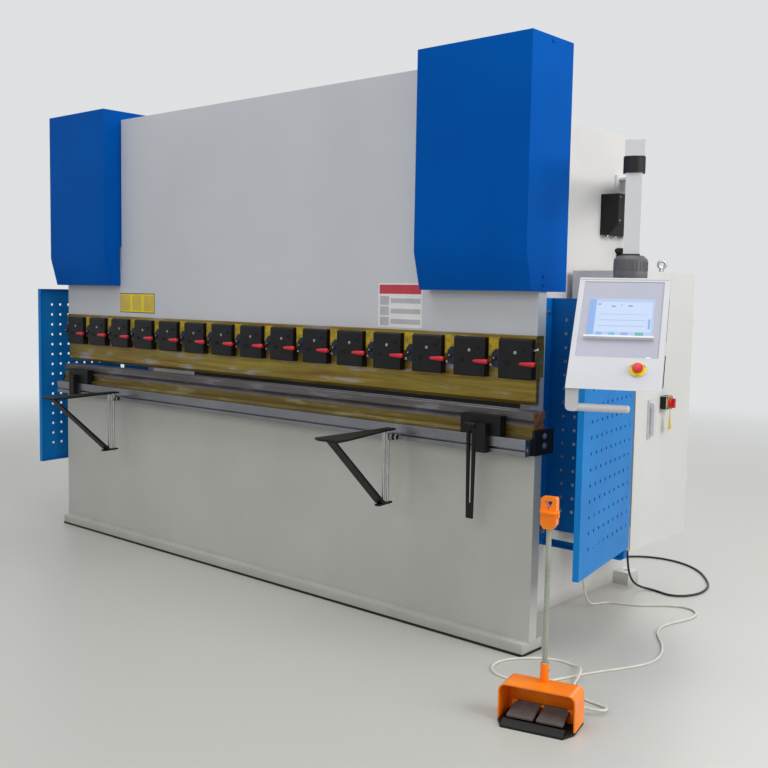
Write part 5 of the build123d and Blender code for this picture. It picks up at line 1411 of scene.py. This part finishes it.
# Round rim of the hood's mouth: two outlines, at the front and further in
rim = bmesh.new()
front_out, front_in, back_out, back_in = (
    [rim.verts.new((a * MM, y * MM, b * MM)) for a, b in (
        [(102 + radius, 12)] + arc(102, 100, radius, 0, 90, 7)
        + arc(-102, 100, radius, 90, 90, 7) + [(-102 - radius, 12)]
    )]
    for y in (-1.2, 6.0) for radius in (25.8, 20.6)
)
last = len(front_out) - 1
for i in range(last):
    j = i + 1
    rim.faces.new((front_out[i], front_out[j], front_in[j], front_in[i]))
    rim.faces.new((back_out[i], back_out[j], front_out[j], front_out[i]))
    rim.faces.new((back_in[j], back_in[i], front_in[i], front_in[j]))
    rim.faces.new((back_out[j], back_out[i], back_in[i], back_in[j]))
for i in (0, last):
    rim.faces.new((front_out[i], front_in[i], back_in[i], back_out[i]))
shaped("hood_rim", placed(rim, PEDAL), "pedal_hood", pedal_enamel, 1.0)

# Treads: moulded plates a quarter wider than their solids, with a ribbed face
for hand, middle in (("left", -49), ("right", 49)):
    tread = "pedal_" + hand
    widen = at(middle, 0, 0) @ Matrix.Diagonal((1.25, 1, 1, 1)) @ at(-middle, 0, 0)
    dressed(tread, tread_rubber, 1.4, placed(solid_of(tread), PEDAL @ widen @ from_pedal))
    rib = bmesh.new()
    block(rib, (-39, 0, 0), (39, 2.6, 1.8), 0.7)
    row = repeated(finished(outwards(rib)), 15, (0, 5.4, 0), finish=tread_rubber)
    row.transform(PEDAL @ at(middle, -13, 33.8, 9, "X"))
    piece("tread_ribs_" + hand, row, own_body(tread), tread_rubber)

# The pole fills its socket and is slimmer above it
pole = bmesh.new()
turned(
    pole, [(0, 125), (11.4, 125), (11.4, 185.5), (8.8, 188), (8.8, 627), (0, 627)],
    PEDAL @ at(0, 80, 0), 32,
)
dressed("pedal_pole", pole_enamel, 0.4, outwards(pole))
dressed("pedal_head", pedal_enamel, 1.6)
screws = bmesh.new()
socket_head(screws, facing(-13.78, 80, 150, LEFT), 3.2, 2.2)
socket_head(screws, facing(13.78, 80, 166, RIGHT), 3.2, 2.2)
shaped("pedal_screws", placed(screws, PEDAL), "pedal_hood", zinc)


# Hydraulics on the frames and the back gauge

for node, finish, edge in (
    ("cylinder_left", machined_grey, 1.5), ("cylinder_right", machined_grey, 1.5),
    ("piston_rods", hard_chrome, 0.6), ("oil_tank", tank_enamel, 2.0),
    ("pump_motor", motor_enamel, 1.5), ("hydraulic_pump", cast_iron, 1.6),
    ("valve_block", valve_steel, 1.5), ("pressure_pipes", drawn_pipe, 0.4),
):
    dressed(node, finish, edge)

# Cooling fins round the motor, apart from where the block above it and its feet are
MOTOR_Y, MOTOR_Z = 660, 2171
fin = bmesh.new()
block(fin, (-236, -1.6, 92), (20, 1.6, 103), 0.5)
fins = form_of(repeated(
    plain_mesh(outwards(fin), "fin"), 40, (0, 0, 0), turn=(9, 0, 0), finish=motor_enamel,
))
gone = []
for face in fins.faces:
    _, y, z = face.calc_center_median() / MM
    if z > 50 and abs(y) < 55 or z < -78:
        gone.append(face)
bmesh.ops.delete(fins, geom=gone, context="FACES")
bmesh.ops.delete(fins, geom=[v for v in fins.verts if not v.link_faces], context="VERTS")
placed(fins, at(0, MOTOR_Y, MOTOR_Z))
piece("motor_fins", finished(fins), own_body("pump_motor"), motor_enamel)

# Black discs as painted shade of the holes in the motor's cowl, and the tank's lid screws and sight
# glass
holes = bmesh.new()
for i in range(7):
    for y, z in arc(MOTOR_Y, MOTOR_Z, 12 + 11 * i, 0, 330, 12):
        turned(holes, [(0, 0), (3, 0), (3, 1.2), (0, 1.2)], facing(-281.2, y, z, LEFT), 8)
shaped("cowl_hole_painted_shade", holes, "pump_motor", black_paint)
fittings = bmesh.new()
for i in range(22):
    for y in (434, 886):
        hex_head(fittings, facing(-1250 + i * 119, y, 2060, UP), 6, 4)
turned(fittings, [(0, 0), (15, 0), (15, 5), (12, 7), (0, 7)], facing(-1100, 900, 1760, BACK), 24)
shaped("tank_fittings", fittings, "oil_tank", zinc)

dressed("gauge_carriers", gauge_steel, 0.8)
dressed("gauge_beam", gauge_enamel, 1.5)
for hand in ("left", "right"):
    dressed("gauge_finger_" + hand, gauge_steel, 1.2)
    dressed("ball_screw_" + hand, drawn_pipe, 0.4)


# Floor, backdrop and light

def floor_material(name, far_colour, colour, roughness):
    """A floor that has its own colour near the machine and fades to the sky's tone far away,
    for the camera only."""
    material, tree, shader, place = new_material(name)
    shader.inputs["Base Color"].default_value = linear(colour)
    shader.inputs["Roughness"].default_value = roughness
    away = add(tree, "ShaderNodeVectorMath", {0: place}, operation="LENGTH")
    share = add(tree, "ShaderNodeMapRange", {
        "Value": away.outputs["Value"], "From Min": 3.2, "From Max": 10.0,
    }, interpolation_type="SMOOTHSTEP")
    ways = add(tree, "ShaderNodeLightPath")
    fade = add(tree, "ShaderNodeMath", {
        0: share.outputs[0], 1: ways.outputs["Is Camera Ray"],
    }, operation="MULTIPLY")
    glow = add(tree, "ShaderNodeEmission", {
        "Color": linear(far_colour), "Strength": SKY_STRENGTH,
    })
    blend = add(tree, "ShaderNodeMixShader", {
        0: fade.outputs[0], 1: shader.outputs[0], 2: glow.outputs[0],
    })
    out = [n for n in tree.nodes if n.type == "OUTPUT_MATERIAL"][0]
    tree.links.new(blend.outputs[0], out.inputs["Surface"])
    return material


floor_form = bmesh.new()
bmesh.ops.create_grid(floor_form, x_segments=1, y_segments=1, size=40)
floor_mesh = plain_mesh(floor_form, "floor")
floor = bpy.data.objects.new("floor", floor_mesh)
scene.collection.objects.link(floor)
floor_mesh.materials.append(floor_material("floor_pale", SKY_COLOUR, "#BEBDB6", 0.42))

world = bpy.data.worlds.new("world")
scene.world = world
world.use_nodes = True
sky = world.node_tree
sky.nodes.clear()
ways = add(sky, "ShaderNodeLightPath")
glossy = add(sky, "ShaderNodeMath", {
    0: ways.outputs["Is Camera Ray"], 1: ways.outputs["Is Glossy Ray"],
}, operation="MAXIMUM")
seen = add(sky, "ShaderNodeMath", {
    0: glossy.outputs[0], 1: ways.outputs["Is Transmission Ray"],
}, operation="MAXIMUM")
plain = add(sky, "ShaderNodeBackground", {
    "Color": linear(SKY_COLOUR), "Strength": SKY_STRENGTH,
})
soft = add(sky, "ShaderNodeBackground", {"Color": linear("#EEF1F5"), "Strength": 0.46})
mixed = add(sky, "ShaderNodeMixShader", {
    0: seen.outputs[0], 1: soft.outputs[0], 2: plain.outputs[0],
})
add(sky, "ShaderNodeOutputWorld", {"Surface": mixed.outputs[0]})


def lamp(name, spot, aim, size, power, colour):
    """A soft rectangular lamp that looks at a point: metres, watts and an sRGB colour."""
    data = bpy.data.lights.new(name, "AREA")
    data.shape = "RECTANGLE"
    data.size, data.size_y = size
    data.energy = power
    data.color = linear(colour)[:3]
    thing = bpy.data.objects.new(name, data)
    turn = (Vector(spot) - Vector(aim)).to_track_quat("Z", "Y").to_matrix().to_4x4()
    thing.matrix_world = Matrix.Translation(spot) @ turn
    scene.collection.objects.link(thing)


lamp("roof_light", (0.5, -1.0, 6.5), (0.3, 0.2, 0.8), (7.0, 5.0), 200, "#FDFEFF")
lamp("front_light", (1.6, -6.2, 3.6), (0.5, 0.0, 1.0), (5.0, 3.0), 88, "#FFFFFF")
lamp("right_light", (6.5, 0.5, 3.4), (1.6, 0.4, 1.2), (4.0, 3.0), 200, "#FFFFFF")
lamp("rear_light", (-1.0, 6.5, 4.2), (0.0, 0.8, 1.2), (5.0, 3.0), 120, "#FFFFFF")

scene.view_settings.view_transform = "Standard"

low, high = cad_box
